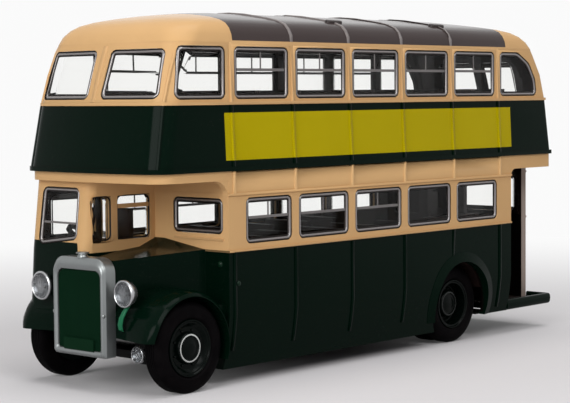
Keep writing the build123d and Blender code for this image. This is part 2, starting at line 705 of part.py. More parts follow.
with BuildPart() as lower_glazing:
    add(saloon_form(WALL + FIT, SKIRT_BOTTOM, CANOPY_BOTTOM))
    add(saloon_form(WALL + FIT + GLASS, SKIRT_BOTTOM, CANOPY_BOTTOM), mode=Mode.SUBTRACT)
    with Locations((0, 0, (LOWER_SILL + LOWER_HEAD) / 2)):
        Box(LENGTH, WIDTH, LOWER_HEAD - LOWER_SILL + 1.4, mode=Mode.INTERSECT)
    add(
        pane_blocks(
            saloon_form(GLASS_RECESS, SKIRT_BOTTOM, CANOPY_BOTTOM),
            saloon_form(WALL + FIT + GLASS / 2, SKIRT_BOTTOM, CANOPY_BOTTOM),
            [
                extrude(lower_near_panes(FIT), amount=WIDTH, dir=(0, 1, 0), mode=Mode.PRIVATE),
                extrude(lower_off_panes(FIT), amount=WIDTH, dir=(0, -1, 0), mode=Mode.PRIVATE),
                extrude(bulkhead_panes(FIT), amount=LENGTH, dir=(1, 0, 0), mode=Mode.PRIVATE),
                extrude(tail_panes(FIT), amount=LENGTH, dir=(-1, 0, 0), mode=Mode.PRIVATE),
            ],
        )
    )
    with Locations((PLATFORM_EDGE + 0.5 - 20, REAR_WALL_EDGE - 0.5 + 10, LOWER_SILL)):
        Box(40, 20, 30, mode=Mode.SUBTRACT)
lower_glazing.part.label = "lower_glazing"
export_step(lower_glazing.part, "parts/lower_glazing.step")

with BuildPart() as cab_glazing:
    add(cab_form(WALL + FIT))
    add(cab_form(WALL + FIT + GLASS), mode=Mode.SUBTRACT)
    with Locations((0, 0, (LOWER_SILL + CANOPY_BOTTOM) / 2 - 0.4)):
        Box(LENGTH, WIDTH, CANOPY_BOTTOM - LOWER_SILL - 0.4, mode=Mode.INTERSECT)
    near_pane = extrude(cab_near_panes(FIT), amount=4, dir=(0, 1, 0), mode=Mode.PRIVATE)
    add(
        pane_blocks(
            cab_form(GLASS_RECESS), cab_form(WALL + FIT + GLASS / 2),
            [
                extrude(windscreen_pane(FIT), amount=LENGTH, dir=(1, 0, 0), mode=Mode.PRIVATE),
                extrude(lower_off_panes(FIT), amount=WIDTH, dir=(0, -1, 0), mode=Mode.PRIVATE),
                Pos(0, CAB_SIDE - 2.5, 0) * near_pane,
            ],
        )
    )
    with Locations((BULKHEAD + FIT, 0, LOWER_SILL)):
        Box(LENGTH, WIDTH, 40, align=(Align.MIN, Align.CENTER, Align.CENTER), mode=Mode.INTERSECT)
cab_glazing.part.label = "cab_glazing"
export_step(cab_glazing.part, "parts/cab_glazing.step")

with BuildPart() as base_plate:
    with BuildSketch(Plane.XY.offset(BASE_BOTTOM)):
        with BuildLine():
            corners = [
                (BULKHEAD - WALL - 0.3, BASE_HALF), (REAR_AXLE + ARCH_RADIUS + 0.6, BASE_HALF),
                (REAR_AXLE + ARCH_RADIUS + 0.6, REAR_INNER - 0.8),
                (REAR_AXLE - ARCH_RADIUS - 0.6, REAR_INNER - 0.8),
                (REAR_AXLE - ARCH_RADIUS - 0.6, BASE_HALF - 0.6), (PLATFORM_EDGE + 1.0, BASE_HALF - 0.6),
            ]
            Polyline(*corners, *[(x, -y) for x, y in reversed(corners)], close=True)
        make_face()
    extrude(amount=BASE_TOP - BASE_BOTTOM, dir=(0, 0, 1))
    with Locations((BULKHEAD - WALL - 0.3, 0, BASE_BOTTOM)):
        Box(2.0, 2 * BASE_NOSE_HALF, NOSE_TOP - BASE_BOTTOM, align=(Align.MAX, Align.CENTER, Align.MIN))
    with Locations((BULKHEAD - WALL - 0.8, 0, NOSE_BOTTOM)):
        Box(
            FRONT_AXLE + 2.4 - BULKHEAD + WALL + 0.8, 2 * BASE_NOSE_HALF, NOSE_TOP - NOSE_BOTTOM,
            align=(Align.MIN, Align.CENTER, Align.MIN),
        )
    with Locations((FRONT - 4.3, BASE_NOSE_HALF, NOSE_BOTTOM)):
        Box(5.0, 2.0, NOSE_TOP - NOSE_BOTTOM, align=(Align.MAX, Align.CENTER, Align.MIN))
        Box(1.2, 2.0, 2.0, align=(Align.MAX, Align.CENTER, Align.MIN))
    bearings = (
        (FRONT_AXLE, BASE_NOSE_HALF - 4.4, BASE_NOSE_HALF - 0.8, NOSE_TOP - 0.3),
        (REAR_AXLE, REAR_INNER - 4.8, REAR_INNER - 1.4, BASE_TOP - 0.3),
    )
    for axle, inner, outer, seat in bearings:
        for side in (1, -1):
            with Locations((axle, side * (inner + outer) / 2, seat)):
                Box(4.0, outer - inner, BEARING_TOP - seat, align=(Align.CENTER, Align.CENTER, Align.MIN))
    for axle in (FRONT_AXLE, REAR_AXLE):
        with Locations(Location((axle, 0, TYRE_RADIUS), (90, 0, 0))):
            Cylinder(AXLE_RADIUS + BEARING_GAP, WIDTH, mode=Mode.SUBTRACT)
    for side in (1, -1):
        with Locations((2.0, side * 3.4, BASE_BOTTOM)):
            Box(60.0, 1.0, 1.2)
    with Locations((12.0, -8.6, BASE_BOTTOM)):
        Box(14.0, 4.6, 1.4)
    with Locations((REAR_AXLE, 0, BASE_BOTTOM)):
        Cylinder(2.6, 1.8)
    with Locations(*[(x, 0, BASE_BOTTOM) for x in SCREW_PLACES]):
        Cylinder(SCREW_RADIUS + FIT, 10, mode=Mode.SUBTRACT)
        Cylinder(SCREW_HEAD + FIT, 1.2, mode=Mode.SUBTRACT)
base_plate.part.label = "base_plate"
export_step(base_plate.part, "parts/base_plate.step")

for name, x in zip(("front_base_screw", "rear_base_screw"), SCREW_PLACES):
    with BuildPart() as screw:
        with Locations((x, 0, BASE_BOTTOM + 0.1)):
            Cylinder(SCREW_HEAD, 0.5, align=(Align.CENTER, Align.CENTER, Align.MIN))
            Cylinder(SCREW_RADIUS, 5.0, align=(Align.CENTER, Align.CENTER, Align.MIN))
            Box(2.0, 0.4, 0.5, mode=Mode.SUBTRACT)
            Box(0.4, 2.0, 0.5, mode=Mode.SUBTRACT)
    screw.part.label = name
    export_step(screw.part, f"parts/{name}.step")

with BuildPart() as lower_interior:
    with Locations(((PLATFORM_EDGE + 1.0 + BULKHEAD - WALL - 1.0) / 2, 0, FLOOR_BOTTOM)):
        Box(
            BULKHEAD - WALL - PLATFORM_EDGE - 2.0, 2 * FLOOR_HALF, FLOOR_TOP - FLOOR_BOTTOM,
            align=(Align.CENTER, Align.CENTER, Align.MIN),
        )
    add(seat_rows(LOWER_ROWS, FLOOR_TOP, (1, -1)))
    with BuildSketch(Plane.XZ):
        with Locations((REAR_AXLE, TYRE_RADIUS)):
            Circle(ARCH_RADIUS + 0.8)
        with Locations((REAR_AXLE, FLOOR_BOTTOM - 10)):
            Rectangle(30, 20, mode=Mode.SUBTRACT)
    extrude(amount=FLOOR_HALF, both=True)
    with Locations((REAR_AXLE, 0, FLOOR_TOP)):
        Box(30, 2 * (REAR_INNER - 1.6), 20, align=(Align.CENTER, Align.CENTER, Align.MIN), mode=Mode.SUBTRACT)
    for side in (1, -1):
        with Locations((REAR_AXLE, side * (REAR_INNER - 1.6 + SEAT_SIDE) / 2, TYRE_RADIUS + ARCH_RADIUS)):
            Box(15.4, SEAT_SIDE - REAR_INNER + 1.6, 2.4)
        with Locations((REAR_AXLE, side * (SEAT_SIDE - 0.6), TYRE_RADIUS + ARCH_RADIUS)):
            Box(15.4, 1.2, 8.0, align=(Align.CENTER, Align.CENTER, Align.MIN))
    add(wheel_tunnel(REAR_AXLE, ARCH_RADIUS, REAR_INNER - 0.8, HALF), mode=Mode.SUBTRACT)
    with BuildSketch(Plane.YZ.offset(PLATFORM_EDGE + 0.9)):
        with Locations((0, (PLATFORM_FLOOR + 0.3 + FLOOR_SEAT) / 2 + 0.05)):
            Rectangle(2 * SEAT_SIDE, FLOOR_SEAT - PLATFORM_FLOOR - 0.5)
        with Locations((0.5, FLOOR_TOP)):
            Rectangle(7.0, LOWER_HEAD + 0.7 - FLOOR_TOP, align=(Align.CENTER, Align.MIN), mode=Mode.SUBTRACT)
        with Locations(*[(y, (LOWER_SILL + LOWER_HEAD) / 2) for y in (SEAT_SIDE - 3.9, 4.3 - SEAT_SIDE)]):
            RectangleRounded(6.4, LOWER_LIGHT, 0.8, mode=Mode.SUBTRACT)
    extrude(amount=0.9)
    with Locations(*[(x, 0, BASE_TOP) for x in SCREW_PLACES]):
        Cylinder(SCREW_HEAD + 0.5, FLOOR_BOTTOM - BASE_TOP + 0.2, align=(Align.CENTER, Align.CENTER, Align.MIN))
        Cylinder(SCREW_RADIUS + 0.02, 4.4, align=(Align.CENTER, Align.CENTER, Align.MIN), mode=Mode.SUBTRACT)
lower_interior.part.label = "lower_interior"
export_step(lower_interior.part, "parts/lower_interior.step")

with BuildPart() as upper_interior:
    floor_plan = inset_plan((FLOOR_SEAT, *CANOPY_PLAN), FLOOR_RIM + FIT)
    extrude(floor_plan, amount=BAND_BOTTOM - FLOOR_SEAT, dir=(0, 0, 1))
    add(seat_rows(UPPER_ROWS[:-1], BAND_BOTTOM, (1, -1)))
    add(seat_rows(UPPER_ROWS[-1:], BAND_BOTTOM, (1,)))
    with Locations((STAIR_TOP - STAIR_RUN / 2, -(STAIR_INNER + STAIR_OUTER) / 2, FLOOR_SEAT)):
        Box(STAIR_RUN + 0.4, STAIR_OUTER - STAIR_INNER + 0.4, 4, mode=Mode.SUBTRACT)
    with Locations((STAIR_TOP, -STAIR_INNER + 0.8, BAND_BOTTOM - 0.1)):
        Box(STAIR_RUN - 2.4, 0.8, 8.5, align=(Align.MAX, Align.CENTER, Align.MIN))
upper_interior.part.label = "upper_interior"
export_step(upper_interior.part, "parts/upper_interior.step")

with BuildPart() as staircase:
    with BuildSketch(Plane.XZ.offset(STAIR_INNER)):
        with BuildLine():
            steps = [(STAIR_TOP - STAIR_RUN, PLATFORM_FLOOR)]
            for i in range(STAIR_STEPS):
                x = STAIR_TOP - STAIR_RUN + i * STAIR_RUN / STAIR_STEPS
                z = PLATFORM_FLOOR + (i + 1) * (FLOOR_SEAT - PLATFORM_FLOOR) / STAIR_STEPS
                steps += [(x, z), (x + STAIR_RUN / STAIR_STEPS, z)]
            string = [(STAIR_TOP, FLOOR_SEAT - 4.5), (STAIR_TOP - STAIR_RUN + 3.0, PLATFORM_FLOOR)]
            Polyline(*steps, *string, close=True)
        make_face()
    extrude(amount=STAIR_OUTER - STAIR_INNER, dir=(0, -1, 0))
staircase.part.label = "staircase"
export_step(staircase.part, "parts/staircase.step")

with BuildPart() as platform_corner:
    add(saloon_form(0, SKIRT_BOTTOM, CANOPY_BOTTOM))
    with Locations((PLATFORM_EDGE - FIT, REAR_WALL_EDGE + FIT, 0)):
        Box(50, 50, 50, align=(Align.MAX, Align.MIN, Align.CENTER), mode=Mode.INTERSECT)

with BuildPart() as platform_edge:
    add(platform_corner.part)
    add(saloon_form(WALL, SKIRT_BOTTOM, CANOPY_BOTTOM), mode=Mode.SUBTRACT)
    with Locations((0, 0, PLATFORM_FLOOR - 0.3)):
        Box(
            2 * LENGTH, 60, PLATFORM_RIM + 0.3,
            align=(Align.CENTER, Align.CENTER, Align.MIN), mode=Mode.INTERSECT,
        )

with BuildPart() as platform:
    add(saloon_form(WALL + FIT, SKIRT_BOTTOM, CANOPY_BOTTOM))
    add(platform_corner.part)
    with Locations((PLATFORM_EDGE + 0.8, 0, PANEL_BOTTOM)):
        Box(
            60, 60, PLATFORM_FLOOR - PANEL_BOTTOM,
            align=(Align.MAX, Align.CENTER, Align.MIN), mode=Mode.INTERSECT,
        )
    add(platform_edge.part)
platform.part.label = "rear_platform"
export_step(platform.part, "parts/rear_platform.step")

with BuildPart() as radiator_shell:
    with BuildSketch(Plane.YZ.offset(RADIATOR_BACK)) as shell:
        with Locations((0, (RADIATOR_BOTTOM + RADIATOR_TOP) / 2)):
            Rectangle(RADIATOR_WIDTH, RADIATOR_TOP - RADIATOR_BOTTOM)
        fillet(shell.vertices().group_by(Axis.Y)[-1], 2.2)
    extrude(amount=RADIATOR_DEPTH)
    with BuildSketch(Plane.YZ.offset(FRONT)) as core:
        with Locations((0, (RADIATOR_BOTTOM + 0.6 + CORE_TOP) / 2)):
            Rectangle(CORE_WIDTH, CORE_TOP - RADIATOR_BOTTOM - 0.6)
        fillet(core.vertices().group_by(Axis.Y)[-1], 1.4)
    extrude(amount=-CORE_DEPTH, mode=Mode.SUBTRACT)
    with Locations((FRONT - RADIATOR_DEPTH / 2, 0, RADIATOR_TOP - 0.1)):
        Cylinder(1.0, 0.8, align=(Align.CENTER, Align.CENTER, Align.MIN))
        Cylinder(1.25, 0.45, align=(Align.CENTER, Align.CENTER, Align.MIN))
    for side in (1, -1):
        catch = (FRONT - 0.35, side * (RADIATOR_WIDTH / 2 - 0.45), (RADIATOR_BOTTOM + CORE_TOP) / 2)
        with Locations(Location(catch, (0, 90, 0))):
            Cylinder(0.35, 0.7)
radiator_shell.part.label = "radiator_shell"
export_step(radiator_shell.part, "parts/radiator_shell.step")

with BuildPart() as radiator_core:
    with BuildSketch(Plane.YZ.offset(FRONT - CORE_DEPTH)) as block:
        with Locations((0, (RADIATOR_BOTTOM + 0.6 + CORE_TOP) / 2)):
            Rectangle(CORE_WIDTH - 2 * FIT, CORE_TOP - RADIATOR_BOTTOM - 0.6 - 2 * FIT)
        fillet(block.vertices().group_by(Axis.Y)[-1], 1.4 - FIT)
    extrude(amount=0.6)
    with BuildSketch(Plane.YZ.offset(FRONT - CORE_DEPTH + 0.5)):
        with Locations((0, (RADIATOR_BOTTOM + CORE_TOP) / 2)):
            with GridLocations(CORE_WIDTH / SLAT_COUNT, 0, SLAT_COUNT, 1):
                Rectangle(CORE_WIDTH / SLAT_COUNT / 2, CORE_TOP - RADIATOR_BOTTOM - 2.4)
    extrude(amount=0.5)
radiator_core.part.label = "radiator_core"
export_step(radiator_core.part, "parts/radiator_core.step")

with BuildPart() as number_plate:
    with Locations((FRONT - CORE_DEPTH + 1.0 + FIT, 0, RADIATOR_BOTTOM + 0.9)):
        Box(0.35, 6.6, 1.7, align=(Align.MIN, Align.CENTER, Align.MIN))
number_plate.part.label = "number_plate"
export_step(number_plate.part, "parts/number_plate.step")

# Lamps: name, back, side, height, bowl radius, depth, stalk
LAMPS = (
    ("headlamp_nearside", FRONT - 2.9, LAMP_SIDE, LAMP_HEIGHT, LAMP_RADIUS, 2.3, 2.0),
    ("headlamp_offside", FRONT - 2.3, -LAMP_SIDE, LAMP_HEIGHT, LAMP_RADIUS, 1.8, 0.0),
    ("fog_lamp", FRONT - 4.3, BASE_NOSE_HALF + 0.5, NOSE_BOTTOM + 1.5, 1.3, 1.4, 0.0),
)
for name, back, side, height, radius, depth, stalk in LAMPS:
    with BuildPart() as lamp:
        with BuildSketch(Plane(origin=(back, side, height), x_dir=(1, 0, 0), z_dir=(0, -1, 0))):
            with BuildLine():
                Polyline(
                    (depth - 0.5, 0), (0, 0), (0, radius * 0.55), (depth - 0.7, radius), (depth - 0.2, radius),
                    (depth - 0.2, radius * 0.86), (depth - 0.5, radius * 0.86), close=True,
                )
            make_face()
        revolve(axis=Axis((back, side, height), (1, 0, 0)))
        if stalk > 0:
            with Locations((back + 0.5, side, height - radius * 0.5)):
                Cylinder(0.35, stalk - radius * 0.5, align=(Align.CENTER, Align.CENTER, Align.MAX))
    lamp.part.label = name
    export_step(lamp.part, f"parts/{name}.step")
    with BuildPart() as lens:
        with BuildSketch(Plane(origin=(back, side, height), x_dir=(1, 0, 0), z_dir=(0, -1, 0))):
            with BuildLine():
                rim = radius * 0.86 - 0.03
                Polyline(
                    (depth - 0.49, 0), (depth - 0.49, rim), (depth - 0.2, rim),
                    (depth + 0.08, 0.6 * rim), (depth + 0.15, 0), close=True,
                )
            make_face()
        revolve(axis=Axis((back, side, height), (1, 0, 0)))
    lens.part.label = f"{name}_lens"
    export_step(lens.part, f"parts/{name}_lens.step")

# Wheels: place, axle, outer face, tyre width, dish of the hub, depth of its boss
WHEELS = (
    ("front", FRONT_AXLE, FRONT_WHEEL_FACE, FRONT_TYRE_WIDTH, 0.9, 0.2),
    ("rear", REAR_AXLE, REAR_WHEEL_FACE, REAR_TYRE_WIDTH, 2.2, 1.0),
)
for place, axle, face, width, dish, boss in WHEELS:
    spindle = Axis((axle, 0, TYRE_RADIUS), (0, 1, 0))
    profile = Plane(origin=(axle, 0, TYRE_RADIUS), x_dir=(0, 1, 0), z_dir=(1, 0, 0))
    with BuildPart() as axle_bar:
        with Locations(Location((axle, 0, TYRE_RADIUS), (90, 0, 0))):
            Cylinder(AXLE_RADIUS, 2 * (face - dish - 0.6))
    axle_bar.part.label = f"{place}_axle"
    export_step(axle_bar.part, f"parts/{place}_axle.step")
    with BuildPart() as tyre:
        with BuildSketch(profile):
            with BuildLine():
                tread = [(face - width, RIM_RADIUS), (face - width, TYRE_RADIUS)]
                if place == "rear":
                    middle = face - width / 2
                    tread += [
                        (middle - 0.6, TYRE_RADIUS), (middle, TYRE_RADIUS - 1.4), (middle + 0.6, TYRE_RADIUS),
                    ]
                tread += [(face - 0.6, TYRE_RADIUS), (face, TYRE_RADIUS - 0.8), (face, RIM_RADIUS)]
                Polyline(*tread, close=True)
            make_face()
        revolve(axis=spindle)
    with BuildPart() as hub:
        with BuildSketch(profile):
            rim = RIM_RADIUS - 0.03
            with BuildLine():
                Polyline(
                    (face - width + 0.2, AXLE_RADIUS + 0.02), (face - width + 0.2, rim), (face - 0.15, rim),
                    (face - 0.15, rim - 0.6), (face - dish, rim - 1.1), (face - dish, 2.3), (face - boss, 2.0),
                    (face - boss, 0),
                    (face - dish - 0.55, 0), (face - dish - 0.55, AXLE_RADIUS + 0.02), close=True,
                )
            make_face()
        revolve(axis=spindle)
    for side, turn in (("nearside", 1), ("offside", -1)):
        for piece, solid in (("tyre", tyre.part), ("hub", hub.part)):
            name = f"{place}_{piece}_{side}"
            handed = solid if turn > 0 else mirror(solid, about=Plane.XZ)
            handed.label = name
            export_step(handed, f"parts/{name}.step")

with BuildPart() as cab_interior:
    with Locations(((BULKHEAD + FRONT - 4.4) / 2, (CAB_SIDE - HALF) / 2, CAB_FLOOR)):
        Box(FRONT - 4.4 - BULKHEAD - 0.4, HALF + CAB_SIDE - 2 * WALL - 0.6, 0.8)
    with Locations((BULKHEAD + 3.2, (CAB_SIDE - HALF) / 2, CAB_FLOOR)):
        Box(4.4, 5.0, 4.6, align=(Align.CENTER, Align.CENTER, Align.MIN))
    with Locations((BULKHEAD + 1.4, (CAB_SIDE - HALF) / 2, CAB_FLOOR)):
        Box(1.0, 5.4, 10.4, align=(Align.CENTER, Align.CENTER, Align.MIN))
cab_interior.part.label = "cab_interior"
export_step(cab_interior.part, "parts/cab_interior.step")

with BuildPart() as steering_wheel:
    with Locations(Location((FRONT - 8.6, (CAB_SIDE - HALF) / 2, CAB_FLOOR + 6.6), (0, -35, 0))):
        Cylinder(2.7, 0.6)
        Cylinder(2.1, 0.8, mode=Mode.SUBTRACT)
        Cylinder(0.4, 7.4, align=(Align.CENTER, Align.CENTER, Align.MAX))
        Box(4.8, 0.5, 0.3)
        Box(0.5, 4.8, 0.3)
steering_wheel.part.label = "steering_wheel"
export_step(steering_wheel.part, "parts/steering_wheel.step")
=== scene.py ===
"""Looks of a die-cast scale model of a half-cab double decker bus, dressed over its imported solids."""

import logging
import math
from dataclasses import dataclass
from enum import Enum
from typing import Callable, Optional, Sequence, Union

import bmesh
import bpy
from mathutils import Matrix, Vector


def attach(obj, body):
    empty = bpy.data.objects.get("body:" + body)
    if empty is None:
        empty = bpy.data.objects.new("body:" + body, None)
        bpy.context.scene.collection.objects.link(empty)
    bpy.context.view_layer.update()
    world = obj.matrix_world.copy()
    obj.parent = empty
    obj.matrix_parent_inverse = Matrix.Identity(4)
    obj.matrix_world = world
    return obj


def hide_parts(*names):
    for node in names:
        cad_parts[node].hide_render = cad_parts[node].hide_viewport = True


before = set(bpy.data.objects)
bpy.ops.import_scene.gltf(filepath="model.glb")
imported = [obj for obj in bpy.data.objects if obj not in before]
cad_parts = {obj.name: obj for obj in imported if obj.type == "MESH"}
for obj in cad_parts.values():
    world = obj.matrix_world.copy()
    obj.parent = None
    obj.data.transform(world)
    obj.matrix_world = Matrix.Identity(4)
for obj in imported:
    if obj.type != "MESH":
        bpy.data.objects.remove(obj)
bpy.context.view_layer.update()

log = logging.getLogger("bus_model")

MM = 0.001
BODY = "bus_body"

Point = tuple[float, float]
Spot = tuple[float, float, float]
Colour = tuple[float, float, float, float]
Number = Union[float, "Field"]
Material = bpy.types.Material
Socket = bpy.types.NodeSocket
Surface = Callable[[float, float, float], Vector]


# Sizes of the model, in millimetres

HALF = 15.0
UPPER_INSET = 0.5
FRONT = 52.0
REAR = -52.0
FRONT_AXLE = 42.8
REAR_AXLE = -23.25
AXLE_HEIGHT = 6.75
BULKHEAD = 35.1
CAB_SIDE = -1.0
BAY = 13.64
FIRST_PILLAR = 33.85
BAY_COUNT = 5
PILLAR = 1.55
PILLARS = [FIRST_PILLAR - BAY * i for i in range(BAY_COUNT + 1)]
SKIRT = 4.3
WAIST = 20.35
LOWER_SILL = 21.3
LOWER_HEAD = 28.3
CANOPY_BOTTOM = 31.0
BAND_TOP = 42.3
UPPER_SILL = 43.1
UPPER_HEAD = 51.0
GUTTER = 51.6
BOW = 1.2
WINDOW_RADIUS = 1.0
QUARTER_RADIUS = 4.0
CORNER_STEPS = 6
ARC_STEPS = 8
MIDDLE = (BAND_TOP + GUTTER) / 2
FRONT_RAKE = ((BAND_TOP, 3.45), (MIDDLE, 4.9), (GUTTER, 6.6))
FRONT_CORNERS = ((BAND_TOP, 3.4), (MIDDLE, 3.5), (GUTTER, 4.0))
TAIL_RAKE = ((BAND_TOP, 1.15), (MIDDLE, 2.5), (GUTTER, 5.0))
SCREEN_RAKE = ((WAIST, 2.5), (CANOPY_BOTTOM, 3.8))
ALONG, ACROSS, UP = Vector((1, 0, 0)), Vector((0, 1, 0)), Vector((0, 0, 1))


class Side(Enum):
    """The two sides of the bus and the sign of Y on each."""

    NEAR = 1
    OFF = -1

    @property
    def word(self) -> str:
        """Name of the side as the solids use it."""
        return "nearside" if self is Side.NEAR else "offside"


class Axle(Enum):
    """The two wheelsets and the bodies that carry them."""

    FRONT = "front_wheelset"
    REAR = "rear_wheelset"

    @property
    def word(self) -> str:
        """Name of the axle as the solids use it."""
        return "front" if self is Axle.FRONT else "rear"

    @property
    def place(self) -> float:
        """Place of the axle along the bus."""
        return FRONT_AXLE if self is Axle.FRONT else REAR_AXLE


class Caps(Enum):
    """The end rows of a grid of points that a face closes."""

    NONE = ()
    FIRST = (0,)
    LAST = (1,)
    BOTH = (0, 1)


def linear(code: str) -> Colour:
    """Turn a six figure colour code into a linear colour.

    Args:
        code: Colour as it looks on a screen, such as "d9b080".

    Returns:
        Red, green, blue and an alpha of one.
    """
    parts = [int(code[i:i + 2], 16) / 255 for i in (0, 2, 4)]
    red, green, blue = [p / 12.92 if p <= 0.04045 else ((p + 0.055) / 1.055) ** 2.4 for p in parts]
    return (red, green, blue, 1.0)


# Shader maths

class Field:
    """A number that varies over a surface, written with ordinary operators."""

    def __init__(self, shader: "Tree", socket: Socket) -> None:
        """Wrap one output socket of a shader."""
        self.shader = shader
        self.socket = socket

    def _math(self, operation: str, first: Number, second: Number = 0.0) -> "Field":
        """Add one Math node.

        Args:
            operation: Name of the Math node's operation.
            first: Its first value.
            second: Its second value.

        Returns:
            The node's result.
        """
        node = self.shader.node("ShaderNodeMath", {"operation": operation}, {0: first, 1: second})
        return Field(self.shader, node.outputs[0])

    def __add__(self, other: Number) -> "Field":
        """Sum of two values."""
        return self._math("ADD", self, other)

    def __radd__(self, other: Number) -> "Field":
        """Sum with the number first."""
        return self._math("ADD", other, self)

    def __sub__(self, other: Number) -> "Field":
        """Difference of two values."""
        return self._math("SUBTRACT", self, other)

    def __rsub__(self, other: Number) -> "Field":
        """Difference with the number first."""
        return self._math("SUBTRACT", other, self)

    def __mul__(self, other: Number) -> "Field":
        """Product of two values."""
        return self._math("MULTIPLY", self, other)

    def __rmul__(self, other: Number) -> "Field":
        """Product with the number first."""
        return self._math("MULTIPLY", other, self)

    def __or__(self, other: Number) -> "Field":
        """The larger of two masks."""
        return self._math("MAXIMUM", self, other)

    def __abs__(self) -> "Field":
        """Size of the value without its sign."""
        return self._math("ABSOLUTE", self)

    def root(self) -> "Field":
        """Square root of the value."""
        return self._math("SQRT", self)

    def wave(self) -> "Field":
        """Sine of the value."""
        return self._math("SINE", self)

    def above(self, edge: float, soft: float = 0.03) -> "Field":
        """Mask that rises from nought to one at an edge.

        Args:
            edge: Value at which the mask is a half.
            soft: Half the width of the rise.

        Returns:
            The mask.
        """
        node = self.shader.node(
            "ShaderNodeMapRange", {"interpolation_type": "SMOOTHSTEP"},
            {0: self, 1: edge - soft, 2: edge + soft, 3: 0.0, 4: 1.0},
        )
        return Field(self.shader, node.outputs[0])

    def below(self, edge: float, soft: float = 0.03) -> "Field":
        """Mask that is one under an edge and nought over it."""
        return 1 - self.above(edge, soft)

    def between(self, low: float, high: float, soft: float = 0.03) -> "Field":
        """Mask that is one from a low edge to a high edge."""
        return self.above(low, soft) * self.below(high, soft)


class Tree:
    """A node tree and the ways to add to it."""

    def __init__(self, tree: bpy.types.NodeTree) -> None:
        """Hold one node tree."""
        self.tree = tree

    def node(
        self, kind: str, settings: Optional[dict] = None, inputs: Optional[dict] = None,
    ) -> bpy.types.Node:
        """Add one node.

        Args:
            kind: Blender's type name of the node.
            settings: Properties to set first.
            inputs: Values or links by socket name or number.

        Returns:
            The new node.
        """
        node = self.tree.nodes.new(kind)
        for key, value in (settings or {}).items():
            setattr(node, key, value)
        self.feed(node, inputs or {})
        return node

    def feed(self, node: bpy.types.Node, inputs: dict) -> None:
        """Set or link the sockets of a node.

        Args:
            node: Node to feed.
            inputs: Values or links by socket name or number.
        """
        for key, value in inputs.items():
            socket = node.inputs[key]
            if isinstance(value, Field):
                self.tree.links.new(value.socket, socket)
            elif isinstance(value, Socket):
                self.tree.links.new(value, socket)
            else:
                socket.default_value = value

    def seen(self) -> Field:
        """Find the rays that show the background.

        Returns:
            Mask of straight, mirrored and passed rays.
        """
        path = self.node("ShaderNodeLightPath")
        kinds = ("Camera", "Glossy", "Transmission")
        straight, mirrored, through = [Field(self, path.outputs[f"Is {kind} Ray"]) for kind in kinds]
        return straight | mirrored | through


class Shader(Tree):
    """The node tree of one material."""

    def __init__(self, name: str) -> None:
        """Start a material with its plain surface shader.

        Args:
            name: Name of the material.
        """
        self.material = bpy.data.materials.new(name)
        self.material.use_nodes = True
        super().__init__(self.material.node_tree)
        self.surface = self.tree.nodes["Principled BSDF"]
        self.spot = self.node("ShaderNodeTexCoord")

    def place(self) -> tuple[Field, Field, Field]:
        """Place on the model in millimetres, as three fields."""
        split = self.node("ShaderNodeSeparateXYZ", {}, {0: self.spot.outputs["Object"]})
        return tuple(Field(self, out) * 1000.0 for out in split.outputs)

    def facing(self) -> tuple[Field, Field, Field]:
        """Direction in which the surface of the object faces, as three fields."""
        split = self.node("ShaderNodeSeparateXYZ", {}, {0: self.spot.outputs["Normal"]})
        return tuple(Field(self, out) for out in split.outputs)

    def noise(self, size: float, detail: float = 2.0, stretch: Spot = (1, 1, 1)) -> Field:
        """Random mottling.

        Args:
            size: Width of one patch in millimetres.
            detail: Number of finer layers.
            stretch: Factors on the three axes.

        Returns:
            Values around a half.
        """
        scaled = self.node(
            "ShaderNodeVectorMath", {"operation": "MULTIPLY"}, {0: self.spot.outputs["Object"], 1: stretch},
        )
        inputs = {"Vector": scaled.outputs[0], "Scale": 1000.0 / size, "Detail": detail}
        return Field(self, self.node("ShaderNodeTexNoise", {}, inputs).outputs["Fac"])

    def mix(self, mask: Number, first: Union[Colour, Socket], second: Union[Colour, Socket]) -> Socket:
        """Blend two colours.

        Args:
            mask: Nought gives the first colour and one the second.
            first: First colour.
            second: Second colour.

        Returns:
            Socket of the blended colour.
        """
        node = self.node("ShaderNodeMix", {"data_type": "RGBA"}, {0: mask, 6: first, 7: second})
        return node.outputs[2]

    def bump(self, height: Field, distance: float, strength: float = 1.0) -> Socket:
        """Relief on the surface.

        Args:
            height: Height from nought to one.
            distance: Height of one in millimetres.
            strength: Share of the relief that shows.

        Returns:
            Socket of the changed normal.
        """
        inputs = {"Height": height, "Distance": distance * MM, "Strength": strength}
        return self.node("ShaderNodeBump", {}, inputs).outputs["Normal"]

    def finish(self, inputs: dict) -> Material:
        """Feed the surface shader and give the material."""
        self.feed(self.surface, inputs)
        return self.material


# Finishes

